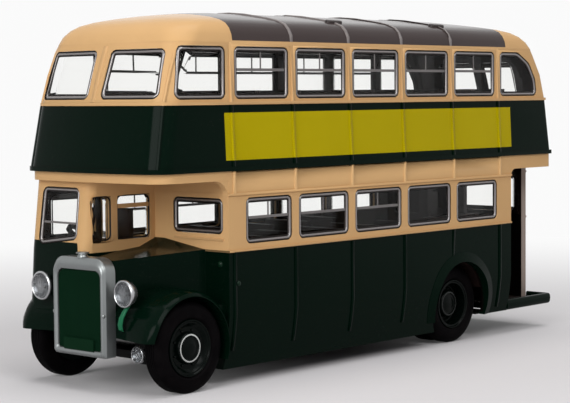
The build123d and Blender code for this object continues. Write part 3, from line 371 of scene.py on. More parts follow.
@dataclass(frozen=True)
class Livery:
    """Spray paints of the body, with the places where they meet, and the painted shade of the inner faces and
    painted highlights along the roof ribs.
    """

    cream: str = "d0a775"
    green: str = "02120a"
    roof: str = "413837"
    # Painted highlight: lighter grey along the roof ribs.
    rib: str = "938c8a"
    yellow: str = "b2a104"
    # Painted shade: dark brown for the inner faces of both decks.
    inside: str = "211612"
    # Painted shade: near black for the inner faces of the lower deck below the sill, round the wheel arches.
    arch: str = "0b0807"
    post: str = "a3948a"
    slats: tuple[str, str] = ("1c1715", "362d29")
    gloss: float = 0.12
    film_ior: float = 1.11
    lacquer: float = 0.42
    coat_ior: float = 1.25
    coat_rough: float = 0.26
    panel_along: Point = (-38.1, 35.4)
    panel_up: Point = (34.0, 41.1)
    panel_out: float = HALF - 0.75
    roof_along: Point = (-37.0, 33.35)
    rib_half: float = 0.3
    upper_middle: float = 44.0
    upper_lining: float = HALF - 0.85
    bonnet_top: float = 22.9
    rise_along: Point = (46.0, 1.6)
    rise_height: float = 1.5
    wall: float = 1.06
    ceiling: float = 31.7
    saloon_along: Point = (REAR + 1.38, BULKHEAD - 1.06)
    saloon_floor: float = 4.75
    cab_along: Point = (BULKHEAD + 0.05, FRONT - 2.0)
    cab_middle: Point = (42.0, -8.0)
    post_across: Point = (8.8, 9.2)
    post_front: float = -49.0
    tread_floor: float = 5.25
    tread_half: float = HALF - 1.9
    tread_back: float = REAR + 1.6
    slat_turn: float = 9.0

    def spray(self, shader: Shader, colour: Socket, lacquer: Number = 0.0) -> Material:
        """Lay a glossy paint film over a coloured surface.

        Args:
            shader: Material to finish.
            colour: Colour of the paint over the surface.
            lacquer: Weight of a clear coat over the film.

        Returns:
            The finished material.
        """
        patches = shader.noise(9.0, 3.0)
        peel = shader.noise(0.55, 2.0)
        dust = shader.noise(0.16, 1.0).above(0.74, 0.05)
        shade = shader.mix(patches * 0.1, colour, linear("000000"))
        return shader.finish({
            "Base Color": shader.mix(dust * 0.03, shade, linear("c8c4bc")),
            "Roughness": patches * 0.08 + self.gloss + dust * 0.25,
            "IOR": self.film_ior,
            "Coat Weight": lacquer,
            "Coat IOR": self.coat_ior,
            "Coat Roughness": self.coat_rough,
            "Normal": shader.bump(peel, 0.004, 0.5),
        })

    def lower_body(self) -> Material:
        """Paint of the lower deck: green below the waist and on the bonnet, cream above, and painted shade on
        the inner faces, near black below the sill.

        Returns:
            The finished material.
        """
        shader = Shader("lower_body_paint")
        x, y, z = shader.place()
        across, along, _ = shader.facing()
        bonnet = x.above(BULKHEAD + 0.05) * y.above(CAB_SIDE + 0.06) * z.below(self.bonnet_top)
        rise = x.above(*self.rise_along) * y.below(CAB_SIDE - 1.8, 0.2)
        green = (z - rise * self.rise_height).below(WAIST - 0.1, 0.05) | bonnet
        saloon = abs(y).below(HALF - self.wall) * x.between(*self.saloon_along) * z.above(self.saloon_floor)
        ahead, beside = self.cab_middle
        inward = (across * (x - ahead) + along * (y - beside)).below(-0.3, 0.05)
        cab = x.between(*self.cab_along) * y.between(self.wall - HALF, CAB_SIDE - self.wall) * inward
        # Inner faces of the saloon and the cab take painted shade in place of the body paint.
        shaded_inside = (saloon | cab) * z.below(self.ceiling)
        edge = y.between(*self.post_across) * x.below(self.post_front) * along.above(0.7, 0.1)
        paint = shader.mix(green, linear(self.cream), linear(self.green))
        # Painted shade of the inner faces: dark brown, near black below the sill.
        inside_shade = shader.mix(z.below(LOWER_SILL - 0.5, 0.3), linear(self.inside), linear(self.arch))
        paint = shader.mix(shaded_inside, paint, inside_shade)
        return self.spray(shader, shader.mix(edge, paint, linear(self.post)))

    def upper_body(self) -> Material:
        """Paint of the upper deck: green band with a yellow panel, cream windows and domes, grey roof with
        painted highlights along its ribs, and painted shade on the inner faces.

        Returns:
            The finished material.
        """
        shader = Shader("upper_body_paint")
        x, y, z = shader.place()
        across, along, up = shader.facing()
        band = z.below(BAND_TOP - 0.02)
        panel = abs(y).above(self.panel_out) * x.between(*self.panel_along) * z.between(*self.panel_up)
        top = z.above(GUTTER + 0.25) * x.between(*self.roof_along)
        # Lighter lines along the roof ribs are a painted highlight on the raised ribs.
        ribs = abs(x - PILLARS[1]).below(self.rib_half)
        for pillar in PILLARS[2:BAY_COUNT]:
            ribs = ribs | abs(x - pillar).below(self.rib_half)
        outward = across * x + along * y + up * (z - self.upper_middle)
        # Faces turned inward take the dark painted shade of the inside.
        shaded_inside = outward.below(0.0, 0.05) * abs(y).below(self.upper_lining)
        roof = shader.mix(ribs * 0.7, linear(self.roof), linear(self.rib))
        paint = shader.mix(top, linear(self.cream), roof)
        paint = shader.mix(band, paint, linear(self.green))
        paint = shader.mix(panel, paint, linear(self.yellow))
        return self.spray(shader, shader.mix(shaded_inside, paint, linear(self.inside)), top * self.lacquer)

    def platform(self) -> Material:
        """Paint of the rear platform: green edge and a dark ribbed tread.

        Returns:
            The finished material.
        """
        shader = Shader("platform_paint")
        x, y, z = shader.place()
        tread = z.above(self.tread_floor) * abs(y).below(self.tread_half) * x.above(self.tread_back)
        slats = (y * self.slat_turn).wave().above(0.0, 0.6)
        dark, light = (linear(code) for code in self.slats)
        self.spray(shader, shader.mix(tread, linear(self.green), shader.mix(slats, dark, light)))
        return shader.finish({"Normal": shader.bump(slats * tread, 0.05)})


@dataclass(frozen=True)
class Moulding:
    """Dyed plastic straight from the mould."""

    name: str
    colour: str
    rough: float
    grain: float
    shine: float = 0.12

    def make(self) -> Material:
        """Make the material.

        Returns:
            Plastic with a fine grain and soft patches of shine.
        """
        shader = Shader(self.name)
        patches = shader.noise(6.0, 3.0)
        grain = shader.noise(self.grain, 2.0)
        return shader.finish({
            "Base Color": shader.mix(patches * 0.35, linear(self.colour), linear("000000")),
            "Roughness": self.rough + patches * 0.15,
            "Specular IOR Level": self.shine,
            "Normal": shader.bump(grain, 0.02, 0.6),
        })


@dataclass(frozen=True)
class Rubber:
    """Soft black tyre with a dusty tread."""

    colour: str = "050405"
    dust: str = "151213"
    ior: float = 1.08

    def make(self) -> Material:
        """Make the material.

        Returns:
            Matt rubber, greyer in patches.
        """
        shader = Shader("tyre_rubber")
        patches = shader.noise(2.2, 4.0)
        grain = shader.noise(0.12, 2.0)
        dusty = patches.above(0.55, 0.2) * 0.3
        return shader.finish({
            "Base Color": shader.mix(dusty, linear(self.colour), linear(self.dust)),
            "Roughness": 0.48 + patches * 0.2,
            "IOR": self.ior,
            "Normal": shader.bump(grain, 0.01, 0.5),
        })


@dataclass(frozen=True)
class Plating:
    """Bright or satin plated metal."""

    name: str
    colour: str
    rough: float
    stretch: Spot = (1.0, 1.0, 1.0)
    metal: float = 0.85

    def make(self) -> Material:
        """Make the material.

        Returns:
            Metal with a fine rubbed grain.
        """
        shader = Shader(self.name)
        rub = shader.noise(0.3, 3.0, self.stretch)
        patches = shader.noise(4.0, 3.0)
        return shader.finish({
            "Base Color": shader.mix(patches * 0.25, linear(self.colour), linear("3c3c3c")),
            "Metallic": self.metal + rub * 0.12,
            "Roughness": self.rough + rub * 0.12 + patches * 0.06,
            "Normal": shader.bump(rub, 0.006, 0.5),
        })


@dataclass(frozen=True)
class WheelPaint:
    """Dark wheel centre with one rubbed ring, which takes a dark colour on the rear wheels as painted shade.
    """

    axle: Axle
    # Colour of the ring; the dark one on the rear wheels is painted shade.
    silver: str
    ring: float = 1.98
    half_width: float = 0.1
    colour: str = "030806"
    ior: float = 1.14

    def make(self) -> Material:
        """Make the material.

        Returns:
            Satin paint with the ring at its radius.
        """
        shader = Shader(f"wheel_paint_{self.axle.word}")
        x, _, z = shader.place()
        ahead, above = x - self.axle.place, z - AXLE_HEIGHT
        reach = (ahead * ahead + above * above).root()
        worn = shader.noise(0.8, 2.0)
        low, high = self.ring - self.half_width, self.ring + self.half_width
        ring = reach.between(low, high, 0.04) * (0.75 + worn * 0.4)
        return shader.finish({
            "Base Color": shader.mix(ring, linear(self.colour), linear(self.silver)),
            "Metallic": ring * 0.8,
            "Roughness": 0.16 + worn * 0.12,
            "IOR": self.ior,
            "Normal": shader.bump(worn, 0.01, 0.4),
        })


@dataclass(frozen=True)
class ClearMoulding:
    """Clear plastic of the windows and lenses."""

    name: str
    tint: str = "fcfcfb"
    flutes: float = 0.0
    ior: float = 1.16

    def make(self) -> Material:
        """Make the material.

        Returns:
            Clear plastic with faint flow marks, and upright flutes where it is a lens.
        """
        shader = Shader(self.name)
        flow = shader.noise(7.0, 2.0)
        normal = shader.bump(flow, 0.03, 0.3)
        if self.flutes > 0:
            _, y, _ = shader.place()
            normal = shader.bump((y * (2 * math.pi / self.flutes)).wave(), 0.05)
        return shader.finish({
            "Base Color": shader.mix(flow * 0.06, linear(self.tint), linear("d8dcda")),
            "Roughness": 0.02 + flow.above(0.6, 0.2) * 0.05,
            "Transmission Weight": 1.0,
            "IOR": self.ior,
            "Normal": normal,
        })


@dataclass(frozen=True)
class CorePaint:
    """Green radiator core with fine upright slats."""

    colour: str = "0a2315"
    pitch: float = 0.2
    ior: float = 1.06

    def make(self) -> Material:
        """Make the material.

        Returns:
            Satin paint, darker between the slats as painted shade.
        """
        shader = Shader("core_paint")
        _, y, _ = shader.place()
        slat = (y * (2 * math.pi / self.pitch)).wave().above(0.0, 0.8)
        patches = shader.noise(3.0, 3.0)
        return shader.finish({
            # Painted shade between the slats, with random darker patches.
            "Base Color": shader.mix(slat * 0.12 + patches * 0.15, linear(self.colour), linear("041209")),
            "Roughness": 0.45 + patches * 0.15,
            "IOR": self.ior,
            "Normal": shader.bump(slat, 0.01, 0.4),
        })


# Outlines and meshes

def circle(steps: int) -> list[Point]:
    """Cosines and sines of even steps round a full turn."""
    turns = [2 * math.pi * i / steps for i in range(steps)]
    return [(math.cos(turn), math.sin(turn)) for turn in turns]


def quarter(start: float) -> list[Point]:
    """Cosines and sines of even steps round a quarter turn from a start in degrees."""
    turns = [math.radians(start + 90 * k / ARC_STEPS) for k in range(ARC_STEPS + 1)]
    return [(math.cos(turn), math.sin(turn)) for turn in turns]


def box(low: Point, high: Point) -> list[Point]:
    """Four corners of an upright box from its lowest to its highest corner, anticlockwise."""
    return [low, (high[0], low[1]), high, (low[0], high[1])]


def neighbours(corners: Sequence[Point], i: int) -> tuple[Vector, Vector, Vector]:
    """One corner of an outline, between the corner before it and the one after."""
    return Vector(corners[i - 1]), Vector(corners[i]), Vector(corners[(i + 1) % len(corners)])


def inset_outline(corners: Sequence[Point], inset: float) -> list[Point]:
    """Move the sides of a convex outline inwards.

    Args:
        corners: Corners in anticlockwise order.
        inset: Distance to move each side.

    Returns:
        Corners of the smaller outline.
    """
    moved = []
    for i in range(len(corners)):
        before, here, after = neighbours(corners, i)
        a, b = (here - before).normalized(), (after - here).normalized()
        left_a, left_b = Vector((-a.y, a.x)), Vector((-b.y, b.x))
        middle = (left_a + left_b) / (1 + left_a.dot(left_b))
        moved.append(tuple(here + middle * inset))
    return moved


def rounded(corners: Sequence[Point], radii: Sequence[float]) -> list[Point]:
    """Round the corners of a convex outline.

    Args:
        corners: Corners in anticlockwise order.
        radii: Radius of each corner.

    Returns:
        Points of the rounded outline.
    """
    points = []
    for i, radius in enumerate(radii):
        before, here, after = neighbours(corners, i)
        a, b = (before - here).normalized(), (after - here).normalized()
        half = a.angle(b) / 2
        centre = here + (a + b).normalized() * radius / math.sin(half)
        start = here + a * (radius / math.tan(half)) - centre
        for k in range(CORNER_STEPS + 1):
            turn = (math.pi - 2 * half) * k / CORNER_STEPS
            cos, sin = math.cos(turn), math.sin(turn)
            points.append((
                centre.x + start.x * cos - start.y * sin,
                centre.y + start.x * sin + start.y * cos,
            ))
    return points


def rake(height: float, rows: Sequence[Point]) -> float:
    """Setback of a raked end at a height.

    Args:
        height: Height above the road.
        rows: Heights and setbacks from the bottom up.

    Returns:
        Setback at that height.
    """
    for (low, start), (high, end) in zip(rows, rows[1:]):
        if height <= high:
            return start + (end - start) * (height - low) / (high - low)
    return rows[-1][1]


def rounding(past: float, corner: float) -> float:
    """Setback of a round corner at a distance past its start."""
    past = min(max(past, 0.0), corner)
    return corner - math.sqrt(corner * corner - past * past)


def bow(across: float, corner: float) -> float:
    """Setback of a bowed end with rounded corners at a place across."""
    return BOW * (across / HALF) ** 2 + rounding(abs(across) - (HALF - UPPER_INSET - corner), corner)


def bowed_corner(end: float, half: float, corner: float) -> tuple[Vector, Vector]:
    """Centres of the arcs that round one end of the upper deck in plan.

    Args:
        end: Furthest reach of the end on the middle line.
        half: Half of the width.
        corner: Radius of the corner.

    Returns:
        Centre of the long bow across the end and centre of its corner.
    """
    radius = (half * half + BOW * BOW) / (2 * BOW)
    reach = math.sqrt((radius - corner) ** 2 - (half - corner) ** 2)
    return Vector((end - radius, 0)), Vector((end - radius + reach, half - corner))


def link(name: str, data: bpy.types.ID) -> bpy.types.Object:
    """Make an object of some data and put it in the scene.

    Args:
        name: Name of the object.
        data: Its mesh, lamp or camera.

    Returns:
        The new object.
    """
    item = bpy.data.objects.new(name, data)
    bpy.context.scene.collection.objects.link(item)
    return item


def settle(piece: bpy.types.Object, node: Optional[str] = None, body: str = BODY) -> None:
    """Carry a piece on a body, in the place of its solid where it has one.

    Args:
        piece: Piece to carry.
        node: Solid that it replaces.
        body: Body that carries it.
    """
    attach(piece, body)
    if node is not None:
        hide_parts(node)
    log.info("%s on %s: %d faces", piece.name, body, len(piece.data.polygons))


class Mesh:
    """Points in millimetres and the faces between them."""

    thinnest = 0.001
    tightest = 0.15

    def __init__(self) -> None:
        """Start with no points."""
        self.points: list[Vector] = []
        self.faces: list[list[int]] = []

    def grid(self, rows: Sequence[Sequence[Vector]], closed: bool = True, caps: Caps = Caps.NONE) -> None:
        """Add rows of points with a face between each four.

        Args:
            rows: Rows of as many points each.
            closed: Whether each row meets its own start.
            caps: End rows that a face closes.
        """
        base, count = len(self.points), len(rows[0])
        for row in rows:
            self.points.extend(row)
        for first in range(base, base + (len(rows) - 1) * count, count):
            for i in range(count if closed else count - 1):
                j = (i + 1) % count
                self.faces.append([first + i, first + j, first + count + j, first + count + i])
        for end in caps.value:
            start = base + end * (len(rows) - 1) * count
            self.faces.append(list(range(start, start + count)))

    def lathe(self, profile: Sequence[Point], origin: Vector, axis: Vector, steps: int) -> None:
        """Turn a profile about an axis.

        Args:
            profile: Distances along the axis and radii.
            origin: Point on the axis.
            axis: Direction of the axis, of length one.
            steps: Number of steps round the axis.
        """
        first = axis.orthogonal().normalized()
        second = axis.cross(first)
        spokes = [first * cos + second * sin for cos, sin in circle(steps)]
        rows = []
        for along, radius in profile:
            centre, reach = origin + axis * along, max(radius, self.thinnest)
            rows.append([centre + spoke * reach for spoke in spokes])
        self.grid(rows)

    def strip(
        self, corners: Sequence[Point], radii: Sequence[float], profile: Sequence[Point], surface: Surface,
        caps: Caps = Caps.NONE,
    ) -> None:
        """Add a moulded strip that follows an outline on a surface.

        Args:
            corners: Corners of the outline in anticlockwise order.
            radii: Radius of each corner.
            profile: Distances in from the outline and heights over the surface.
            surface: Place of a point on the surface with its height over it.
            caps: End rows of the profile that a face closes.
        """
        rows = []
        for inset, lift in profile:
            tight = [max(radius - inset, self.tightest) for radius in radii]
            rows.append([surface(u, v, lift) for u, v in rounded(inset_outline(corners, inset), tight)])
        self.grid(rows, caps=caps)

    def bar(self, surface: Surface, low: Point, high: Point, lifts: Point) -> None:
        """Add a flat bar on a surface.

        Args:
            surface: Place of a point on the surface with its height over it.
            low: Lower corner of the bar.
            high: Upper corner of the bar.
            lifts: Heights of its back and front over the surface.
        """
        self.grid([[surface(u, v, lift) for u, v in box(low, high)] for lift in lifts], caps=Caps.LAST)

    def make(self, name: str, material: Material, smooth: float = 40.0) -> bpy.types.Object:
        """Make an object in the model's frame.

        Args:
            name: Name of the piece.
            material: Finish of the piece.
            smooth: Angle in degrees under which edges shade smooth.

        Returns:
            The new object.
        """
        mesh = bpy.data.meshes.new(name)
        mesh.from_pydata([point * MM for point in self.points], [], self.faces)
        welder = bmesh.new()
        welder.from_mesh(mesh)
        bmesh.ops.recalc_face_normals(welder, faces=welder.faces)
        welder.to_mesh(mesh)
        welder.free()
        mesh.shade_smooth()
        mesh.set_sharp_from_angle(angle=math.radians(smooth))
        mesh.materials.append(material)
        return link(name, mesh)


# Sub-assemblies

@dataclass(frozen=True)
class Zone:
    """A box of space."""

    low: Spot
    high: Spot

    def holds(self, point: Vector) -> bool:
        """Whether a point is inside."""
        return all(low < value < high for low, value, high in zip(self.low, point, self.high))


@dataclass(frozen=True)
class Pane:
    """Middle and half sizes of an upright pane."""

    along: float
    up: float
    half_along: float
    half_up: float


@dataclass
class BodyShells:
    """The two painted castings and the base plate, shaded smooth and eased at their edges."""

    livery: Livery
    chassis: Material
    smooth: float = 24.0
    weld: float = 0.002
    bead_half: float = 0.3
    crown: float = 56.65
    pad_over: float = 0.24
    pad_sunk: float = 0.1
    gutter_half: float = HALF - 0.55
    gutter_up: Point = (GUTTER - 0.4, GUTTER + 0.05)
    gutter_proud: Point = (0.03, 0.5)
    front_corner: float = 4.0
    rear_corner: float = 2.0
    arch: Point = (8.45, 8.75)
    arch_wall: float = 0.25
    lip: float = 9.3
    lip_wall: float = 0.15
    lip_proud: float = 0.06
    flank_bow: float = 44.46
    flank_half: float = 15.15
    flank_top: float = 14.5
    tail_front: float = REAR_AXLE - 8.0
    tail_under: float = 4.0
    cab_wall: Zone = Zone((36.05, -2.4, 21.2), (47.45, -0.85, 28.9))
    cab_post: float = 44.85
    cab_panes: tuple[tuple[Pane, Pane], ...] = (
        (Pane(40.45, 25.0, 4.35, 3.7), Pane(39.5, 25.3, 3.4, 3.4)),
        (Pane(46.15, 25.3, 1.25, 3.4), Pane(46.03, 25.15, 1.98, 3.55)),
    )
    pane_middle: float = 0.5
    pane_square: float = -0.8
    bulkhead_edge: Zone = Zone((33.8, 12.1, 22.8), (35.25, 13.3, 28.4))
    bulkhead_shift: float = 0.6
    wing_front: float = 49.5
    wing_nose: float = 49.75
    wing_inner: float = 5.0
    wing_top: float = 12.5
    wing_sweep: Point = (12.8, 7.4)

    def shell(self, node: str, material: Material, reshape: Callable[[Vector], Vector]) -> None:
        """Make a smoothly shaded casting in the place of its solid.

        Args:
            node: Name of the solid.
            material: Paint of the casting.
            reshape: Easing of each point, in millimetres.
        """
        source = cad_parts[node].data
        faces = [list(polygon.vertices) for polygon in source.polygons]
        mesh = bpy.data.meshes.new(f"{node}_casting")
        mesh.from_pydata([reshape(v.co / MM) * MM for v in source.vertices], [], faces)
        welder = bmesh.new()
        welder.from_mesh(mesh)
        bmesh.ops.remove_doubles(welder, verts=welder.verts, dist=self.weld * MM)
        for face in welder.faces:
            face.smooth = True
        for edge in welder.edges:
            if len(edge.link_faces) == 2:
                flat = edge.calc_face_angle(0.0) < math.radians(self.smooth)
                edge.smooth = flat or (self.on_bead(edge) and edge.is_convex)
        welder.to_mesh(mesh)
        welder.free()
        mesh.materials.append(material)
        settle(link(f"{node}_casting", mesh), node)

    def on_bead(self, edge: bmesh.types.BMEdge) -> bool:
        """Whether an edge runs along a pillar bead or a roof rib."""
        places = [v.co.x / MM for v in edge.verts]
        return all(min(abs(x - pillar) for pillar in PILLARS) < self.bead_half for x in places)

    def ease_roof(self, point: Vector) -> Vector:
        """Sink the gutter moulding into the wall and the pads on the crown into the roof.

        Args:
            point: Point of the upper deck.

        Returns:
            The point, moved in where it stands proud.
        """
        if point.z > self.crown + self.pad_over:
            return Vector((point.x, point.y, self.crown + self.pad_sunk))
        if not self.gutter_up[0] < point.z < self.gutter_up[1]:
            return point
        if point.x > 0:
            corner, end = self.front_corner, FRONT - rake(point.z, FRONT_RAKE)
        else:
            corner, end = self.rear_corner, -REAR - rake(point.z, TAIL_RAKE)
        middle, centre = bowed_corner(end, self.gutter_half, corner)
        place = Vector((abs(point.x), abs(point.y)))
        past = place - centre
        if past.y > 0 and past.x <= 0:
            outward, proud = Vector((0, 1)), place.y - self.gutter_half
        elif past.y > 0 and (centre - middle).cross(past) > 0:
            outward, proud = past.normalized(), past.length - corner
        else:
            outward, proud = (place - middle).normalized(), (place - middle).length - (end - middle.x)
        if not self.gutter_proud[0] < proud < self.gutter_proud[1]:
            return point
        step = outward * proud
        return point - Vector((math.copysign(step.x, point.x), math.copysign(step.y, point.y), 0))

    def flank(self, height: float) -> float:
        """Half width of the lower body at a height."""
        drop = max(self.flank_top - height, 0.0)
        return min(self.flank_half - self.flank_bow + math.sqrt(self.flank_bow ** 2 - drop * drop), HALF)

    def ease_lower(self, point: Vector) -> Vector:
        """Roll the rear arch lips, sweep the wings back to the radiator and set the cab posts.

        Args:
            point: Point of the lower deck.

        Returns:
            The point in its eased place.
        """
        x, y, z = point
        if self.cab_wall.holds(point):
            old, new = self.cab_panes[x > self.cab_post]
            along, up = (x - old.along) / old.half_along, (z - old.up) / old.half_up
            square = max(abs(along), abs(up), self.pane_middle) ** self.pane_square
            x, z = new.along + along * square * new.half_along, new.up + up * square * new.half_up
            return Vector((x, y, z))
        if self.bulkhead_edge.holds(point):
            return Vector((x, y + self.bulkhead_shift, z))
        if x > self.wing_nose and abs(y) > self.wing_inner and z < self.wing_top:
            outer, width = self.wing_sweep
            share = min(max((outer - abs(y)) / width, 0.0), 1.0)
            return Vector((x - (x - self.wing_front) * share, y, z))
        reach = math.hypot(x - REAR_AXLE, z - AXLE_HEIGHT)
        if self.arch[0] < reach < self.arch[1] and abs(y) > self.flank(z) - self.arch_wall:
            proud = self.lip_proud if abs(y) > self.flank(z) + self.lip_wall else 0.0
            grown = self.lip / reach
            x = REAR_AXLE + (x - REAR_AXLE) * grown
            z = max(AXLE_HEIGHT + (z - AXLE_HEIGHT) * grown, SKIRT)
            return Vector((x, math.copysign(self.flank(z) + proud, y), z))
        return point

    def ease_base(self, point: Vector) -> Vector:
        """Thin the tail of the base plate, so that it hides behind the skirt."""
        tail = point.x < self.tail_front and point.z < self.tail_under
        return Vector((point.x, point.y, self.tail_under)) if tail else point

    def build(self) -> None:
        """Make both castings and the base plate."""
        self.shell("base_plate", self.chassis, self.ease_base)
        self.shell("upper_deck", self.livery.upper_body(), self.ease_roof)
        self.shell("lower_deck", self.livery.lower_body(), self.ease_lower)


@dataclass(frozen=True)
class Window:
    """One window opening: its outline on a surface and what lies in it."""

    corners: Sequence[Point]
    surface: Surface
    vent: bool = False
    ring: bool = True
    swept: Sequence[int] = ()

    @property
    def radii(self) -> list[float]:
        """Radius of each corner."""
        return [QUARTER_RADIUS if i in self.swept else WINDOW_RADIUS for i in range(len(self.corners))]


@dataclass
class Glazing:
    """Edges of the clear mouldings in the window openings, drawn as dark rings of painted shade and a silver
    ring of painted reflection, and their printed vent bars.
    """

    # The dark rings are painted shade and the silver ring a painted reflection, standing for the look of the
    # clear mouldings' bevelled edges.
    edge_shade: Material
    bead: Material
    print_ink: Material
    groove: tuple[Point, ...] = ((0.02, -0.5), (0.04, -0.12), (0.1, -0.07), (0.18, -0.13), (0.22, -0.28))
    profile: tuple[Point, ...] = (
        (0.18, -0.28), (0.21, -0.14), (0.28, -0.07), (0.38, -0.04),
        (0.48, -0.07), (0.56, -0.15), (0.6, -0.3),
    )
    inner: tuple[Point, ...] = ((0.57, -0.34), (0.62, -0.23), (0.74, -0.2), (0.84, -0.34))
    bar_height: float = 0.42
    bar_share: float = 0.44
    bar_inset: float = 0.4
    bar_lifts: Point = (-0.36, -0.24)
    divider: float = 0.24
    divider_lifts: Point = (-0.36, -0.25)
    front_corner: float = 3.5
    tail_corner: float = 1.0
    screen_slant: float = 0.5
    door_wall: float = REAR + 0.3

    def side_surface(self, side: Side, deck: float) -> Surface:
        """Surface of a body side.

        Args:
            side: Side of the bus.
            deck: Inset of the wall from the widest point.

        Returns:
            Function from length, height and lift to a point.
        """
        def place(u: float, v: float, lift: float) -> Vector:
            """Find a point on the wall, turned in round the front corner of the upper deck.

            Args:
                u: Place along the bus.
                v: Height above the road.
                lift: Height over the wall.

            Returns:
                The point.
            """
            setback = 0.0
            if deck > 0 and u > 0:
                corner = rake(v, FRONT_CORNERS)
                _, centre = bowed_corner(FRONT - rake(v, FRONT_RAKE), HALF - deck, corner)
                setback = rounding(u - centre.x, corner)
            return Vector((u, side.value * (HALF - deck - setback + lift), v))

        return place

    def front_surface(self, u: float, v: float, lift: float) -> Vector:
        """Point on the raked upper front from its place across, height and lift."""
        return Vector((FRONT - rake(v, FRONT_RAKE) - bow(u, self.front_corner) + lift, u, v))

    def tail_surface(self, u: float, v: float, lift: float) -> Vector:
        """Point on the raked upper back from its place across, height and lift."""
        return Vector((REAR + rake(v, TAIL_RAKE) + bow(u, self.tail_corner) - lift, u, v))

    def screen_surface(self, u: float, v: float, lift: float) -> Vector:
        """Point on the cab front from its place across, height and lift."""
        slant = self.screen_slant * (u - CAB_SIDE) / (HALF + CAB_SIDE)
        return Vector((FRONT - rake(v, SCREEN_RAKE) + slant + lift, u, v))

    def bulkhead_surface(self, u: float, v: float, lift: float) -> Vector:
        """Point on the bulkhead beside the bonnet from its place across, height and lift."""
        return Vector((BULKHEAD + lift, u, v))

    def cab_surface(self, u: float, v: float, lift: float) -> Vector:
        """Point on the inner side of the cab from its place along, height and lift."""
        return Vector((u, CAB_SIDE + lift, v))

    def door_wall_surface(self, u: float, v: float, lift: float) -> Vector:
        """Point on the wall behind the platform from its place across, height and lift."""
        return Vector((self.door_wall + BOW * (u / HALF) ** 2 - lift, u, v))

    def side_windows(self, side: Side) -> list[Window]:
        """Windows of one body side.

        Args:
            side: Side of the bus.

        Returns:
            The windows of both decks.
        """
        upper, lower = self.side_surface(side, UPPER_INSET), self.side_surface(side, 0.0)
        rears, fronts = [p + PILLAR / 2 for p in PILLARS[1:]], [p - PILLAR / 2 for p in PILLARS]
        rows = []
        for a, b in zip(rears, fronts):
            rows.append(Window(box((a, UPPER_SILL), (b, UPPER_HEAD)), upper, vent=True))
        first, last = PILLARS[0] + PILLAR / 2 + 0.3, fronts[-1]
        nose = [
            (first, UPPER_SILL), (FRONT - 6.5, UPPER_SILL), (FRONT - 8.0, UPPER_HEAD), (first, UPPER_HEAD),
        ]
        tail = [
            (last, UPPER_HEAD), (REAR + 11.2, UPPER_HEAD), (REAR + 7.6, UPPER_HEAD - 1.9),
            (REAR + 5.6, UPPER_SILL + 3.0), (REAR + 5.1, UPPER_SILL), (last, UPPER_SILL),
        ]
        rows += [Window(nose, upper), Window(tail, upper, swept=(1, 2, 3))]
        if side is Side.NEAR:
            fronts[0] = PILLARS[0] - 2.5
        else:
            rows.append(Window(box((BULKHEAD + 1.2, LOWER_SILL), (FRONT - 7.2, LOWER_HEAD)), lower))
        for i, (a, b) in enumerate(zip(rears, fronts)):
            rows.append(Window(box((a, LOWER_SILL), (b, LOWER_HEAD)), lower, vent=i < 3))
        return rows

    def end_windows(self) -> list[Window]:
        """Windows that face forward or back, and those of the cab's inner side.

        Returns:
            The windows of both decks.
        """
        sill, head = UPPER_SILL + 0.1, UPPER_HEAD - 0.4
        front = [(1.3, sill), (HALF - 2.1, sill), (HALF - 2.8, head), (1.5, head)]
        mirrored = [(-u, v) for u, v in reversed(front)]
        rows = [Window(corners, self.front_surface) for corners in (front, mirrored)]
        for low, high in ((0.6, HALF - 6.6), (6.6 - HALF, -0.6)):
            rows.append(Window(box((low, UPPER_SILL - 0.4), (high, UPPER_HEAD - 1.6)), self.tail_surface))
        bulkhead = box((CAB_SIDE + 4.1, LOWER_SILL + 1.6), (HALF - 1.2, LOWER_HEAD))
        rows.append(Window(bulkhead, self.bulkhead_surface))
        for low, high in ((BULKHEAD + 1.0, BULKHEAD + 7.8), (BULKHEAD + 8.95, FRONT - 4.0)):
            corners = box((low, LOWER_SILL + 0.6), (high, LOWER_HEAD + 0.4))
            rows.append(Window(corners, self.cab_surface, ring=False))
        screen = [
            (2.6 - HALF, LOWER_SILL - 0.3), (CAB_SIDE - 2.1, LOWER_SILL + 0.9),
            (CAB_SIDE - 2.3, CANOPY_BOTTOM - 1.0), (2.8 - HALF, CANOPY_BOTTOM - 1.0),
        ]
        rows.append(Window(screen, self.screen_surface))
        rows.append(Window(box((6.0 - HALF, LOWER_SILL), (HALF - 7.7, LOWER_HEAD)), self.door_wall_surface))
        return rows

    def build(self) -> None:
        """Make the window edges, as painted shade and painted reflection, and the vent bars."""
        grooves, rims, inks = Mesh(), Mesh(), Mesh()
        for window in self.end_windows() + [row for side in Side for row in self.side_windows(side)]:
            if window.vent:
                self.vent(window, inks)
            grooves.strip(window.corners, window.radii, self.groove, window.surface)
            if window.ring:
                grooves.strip(window.corners, window.radii, self.inner, window.surface)
                rims.strip(window.corners, window.radii, self.profile, window.surface)
        layers = (
            ("window_edge_shades", grooves, self.edge_shade), ("window_edges", rims, self.bead),
            ("vent_bars", inks, self.print_ink),
        )
        for name, mesh, material in layers:
            settle(mesh.make(name, material))

    def vent(self, window: Window, mesh: Mesh) -> None:
        """Add a printed vent bar and its divider.

        Args:
            window: Window that they lie in.
            mesh: Mesh to add to.
        """
        (rear, sill), (front, head) = window.corners[0], window.corners[2]
        low, high = rear + self.bar_inset, front - self.bar_inset
        level, middle = head - self.bar_share * (head - sill), (low + high) / 2
        thick, wide = self.bar_height / 2, self.divider / 2
        mesh.bar(window.surface, (low, level - thick), (high, level + thick), self.bar_lifts)
        top = head - self.bar_inset
        mesh.bar(window.surface, (middle - wide, level), (middle + wide, top), self.divider_lifts)


